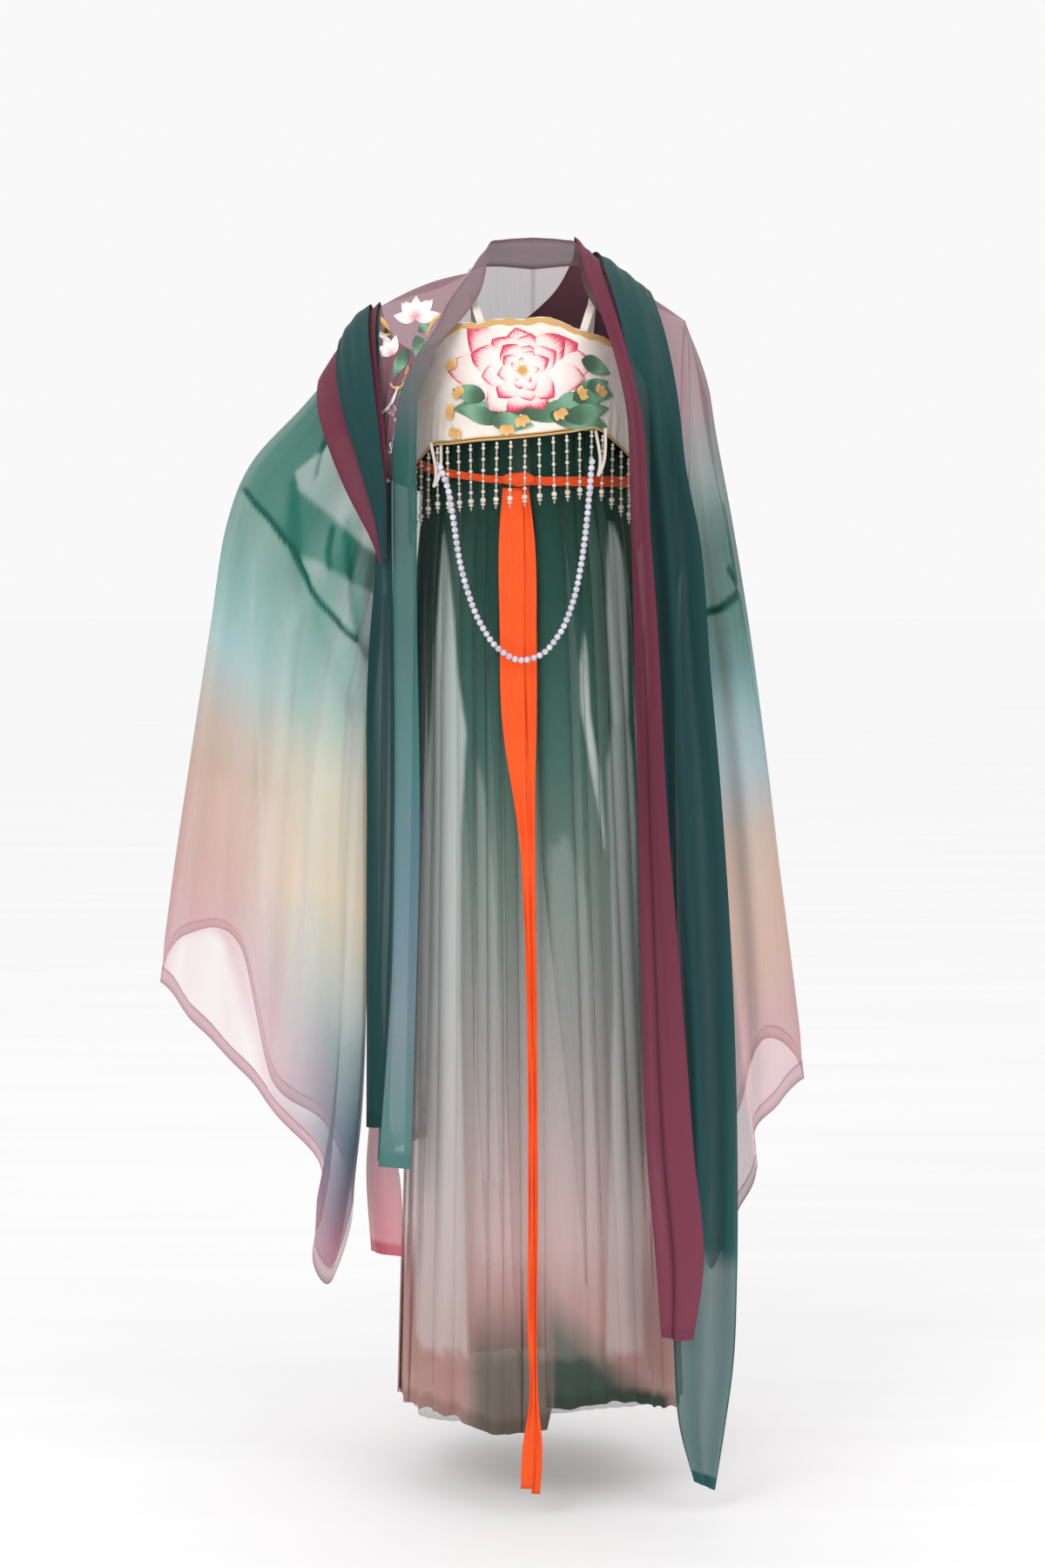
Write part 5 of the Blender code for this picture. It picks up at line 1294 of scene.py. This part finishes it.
def strip(name, node, rows, size, folds, look, seed, fine=0.0006, fade=9.0,
          valley=None):
    """A draped strip between two edges. size is points along and across, folds are its lengthwise folds,
    and fine is the height of finer ones. Below the drop of fade only one sheer layer is left. valley is
    the share across at which two folds part, where painted shade darkens the dip between them."""
    along, across = size
    both = through(rows, even(along))
    c = even(across)
    turn = np.linspace(0, 4, along)[:, None]
    wave = np.sin(2 * math.pi * folds * c + turn) - np.sin(turn) * (1 - c)
    grid = spread(both[:, :3], both[:, 3:6], c)
    grid = moved(grid, False, both[:, 6:7] * np.sin(math.pi * c) + both[:, 7:] * wave)
    u, v = np.meshgrid(*lengths(grid))
    within = rise(np.minimum(c, 1 - c), 0, 0.08)
    grid = moved(grid, False, fine * within * waves(v, u, seed, 4, 0.9, 0.030))
    drop = -grid[..., 2]
    rim = edges(c, 0.035) + 0 * drop
    rim[-3:] = 1
    density_and_painted_light = 0.35 * rim + 0.08 * wave - 0.30 * rise(drop, fade, 0.03) * (1 - 0.8 * rim)
    # Painted shade: the dip between the two folds is darkened.
    if valley is not None:
        density_and_painted_light = density_and_painted_light + 1.6 * np.exp(-(((c - valley) / 0.05) ** 2)) * rise(drop, 0.45, 0.2)
    piece = cloth(name, grid, look, [node], density_and_painted_light=density_and_painted_light)


def shawl():
    strip("shawl_wine_cloth", "shawl_wine", SHAWL_WINE, (420, 37), 1, WINE_CHIFFON,
          51, valley=0.36)
    strip("shawl_green_cloth", "shawl_green", SHAWL_GREEN, (440, 49), 2, GREEN_CHIFFON,
          52, 0.0010, 1.20)
    strip("shawl_green_tail_cloth", "shawl_green_tail", TAIL_GREEN, (120, 21), 1, GREEN_CHIFFON,
          53)
    strip("shawl_rose_tail_cloth", "shawl_wine_tail", TAIL_WINE, (140, 25), 1, ROSE_CHIFFON,
          54)


# ---- looks ----
# The places of a chiffon's dyes are metres below the origin, or along its slanted direction.
BAND_CHIFFON = sheer("band_chiffon",
    "-0.02 8a6a76  0.1 82686f  0.18 5f6a6c  0.24 2f5f5a  0.45 2f6460  0.62 48787a  "
    "0.8 5f7f8c  0.92 71858f  1.11 4f827e", alpha=0.88)
PANEL_CHIFFON = sheer("panel_chiffon",
    "0.02 9c6e7c  0.2 a0727f  0.3 5a6468  0.45 1f4f4c  0.9 2c5a5c  1.11 5f8a88", alpha=0.66)
BACK_CHIFFON = sheer("back_chiffon",
    "0.02 94606f  0.2 7c5f6a  0.36 2f6c60  0.6 3f8476  0.85 7aa2a8  1.13 a98c9c", alpha=0.50)
RIGHT_SLEEVE_CHIFFON = sheer("right_sleeve_chiffon",
    "0.12 80666c  0.22 557a72  0.34 3a8474  0.45 2f8474  0.53 5aa49a  0.62 9cc4c6  "
    "0.7 c2ad9e  0.8 c8987c  0.92 c88e84  1.05 cc909e  1.25 bc7c94", (-0.36, 0, -1), alpha=0.52,
    second="0.3 2f7a6a  0.5 358a78  0.62 86b4aa  0.73 d2ccb4  0.88 dcc8a6  0.98 aab0a0  "
    "1.05 688c8c  1.17 68869a  1.24 9890a8  1.31 dc94ae  1.38 e08ca8")
LEFT_SLEEVE_CHIFFON = sheer("left_sleeve_chiffon",
    "0.1 8a5262  0.22 8f6874  0.32 5f7f78  0.4 1f6256  0.5 2a7468  0.58 5f9a9a  0.68 8fb0bc  "
    "0.73 aca8a4  0.78 c69e80  0.9 ca967a  0.98 c68a86  1.08 cc8896  1.25 b87a90",
    (0.18, 0, -1), alpha=0.54)
CUFF_CHIFFON = sheer("cuff_chiffon", "0.8 b8788a  1.3 a86c80", alpha=0.66)
# The skirt's pale dye is painted light: the white lining behind, painted on as if lit.
SKIRT_CHIFFON = sheer("skirt_chiffon",
    "0.2 1f4f40  0.3 1d4f42  0.42 225a4c  0.6 4a786c  0.78 768a82  0.94 928f8c  1.08 b09c9a  "
    "1.22 cca29e  1.32 dca8a2  1.44 ecb6ae", alpha=0.36, drift=0.06,
    second="0.2 14382f  1.2 5c6d61  1.44 54685a",
    pale="0.3 e2f2ec  0.6 e8f4f0  0.9 eceeec  1.1 eee6e4  1.34 f4dad6")
UNDER_CHIFFON = sheer("under_chiffon",
    "0.2 1f4f40  0.45 3f6a5c  0.7 7f988e  1 a09c96  1.3 a08a84  1.45 6f7c6e", alpha=0.08)
WAISTBAND = woven("waistband_cloth", "2c6454", "215044")
LINING = sheer("lining_cloth", "0.3 cfe2d8  0.6 d8e6df  0.9 ece9e6  1.2 f8e8e6", alpha=0.97)
SATIN = satin("satin_cloth")
GOLD = stitched("gold_edging", "0 d9a862  0.5 ecc283  1 f4d9a6", 0.0009)
PETAL_THREAD = stitched("petal_stitches",
    "0 ea9ca0  0.12 f5d8d0  0.45 faf2ec  0.8 f8dcd8  0.95 e4466a  1.06 cf1840")
WHITE_PETAL = stitched("white_petal_stitches", "0 e8a0a8  0.35 f6f0ee  0.85 fbf8f6  1.1 f0b4bc")
WHITE_THREAD = stitched("white_stitches", "0 f4f2f2  1 dcdce0")
LEAF_THREAD = stitched("leaf_stitches", "0 244a32  0.3 3f6a4c  0.6 7fb092  0.9 4f7c5c  1.15 a8ccb0")
GOLD_THREAD = stitched("gold_stitches", "0 d99a4a  0.6 e8b56a  1.1 f2cf8c")
RIBBON = woven("orange_ribbon", "ff5c10", "f04c08", 0.55, 0.0006, 0.1)
GREEN_CHIFFON = sheer("green_shawl_chiffon", "0 1d4a48  0.3 153c3e  0.9 184245  1.5 265a58",
                      alpha=0.985, drift=0.2)
WINE_CHIFFON = sheer("wine_shawl_chiffon", "0 702e42  0.6 64293c  1.3 7c3a4e", alpha=0.985, drift=0.2)
ROSE_CHIFFON = sheer("rose_chiffon", "0.4 a83450  1.2 cc5266", alpha=0.76)

camera()
pearl_swag()
studio()
bodice_front()
bodice_back()
edging("gold_top_edging", "top", 0.0080, "bodice_top_trim", 34)
edging("gold_foot_piping", "foot", -0.0022, "bodice_foot_trim", 0)
loops()
straps()
lotus()
leaves()
fringe()
skirt()
belt()
robe_band()
shoulder_embroidery(robe_front(-1))
robe_front(1)
robe_back()
sleeve("right", SLEEVE_RIGHT, CUFF_RIGHT, -1, RIGHT_SLEEVE_CHIFFON, CREASES_RIGHT, PATCHES_RIGHT,
       61, (0.27, 0.37, 0.95))
sleeve("left", SLEEVE_LEFT, CUFF_LEFT, 1, LEFT_SLEEVE_CHIFFON, CREASES_LEFT, PATCHES_LEFT, 71)
shawl()
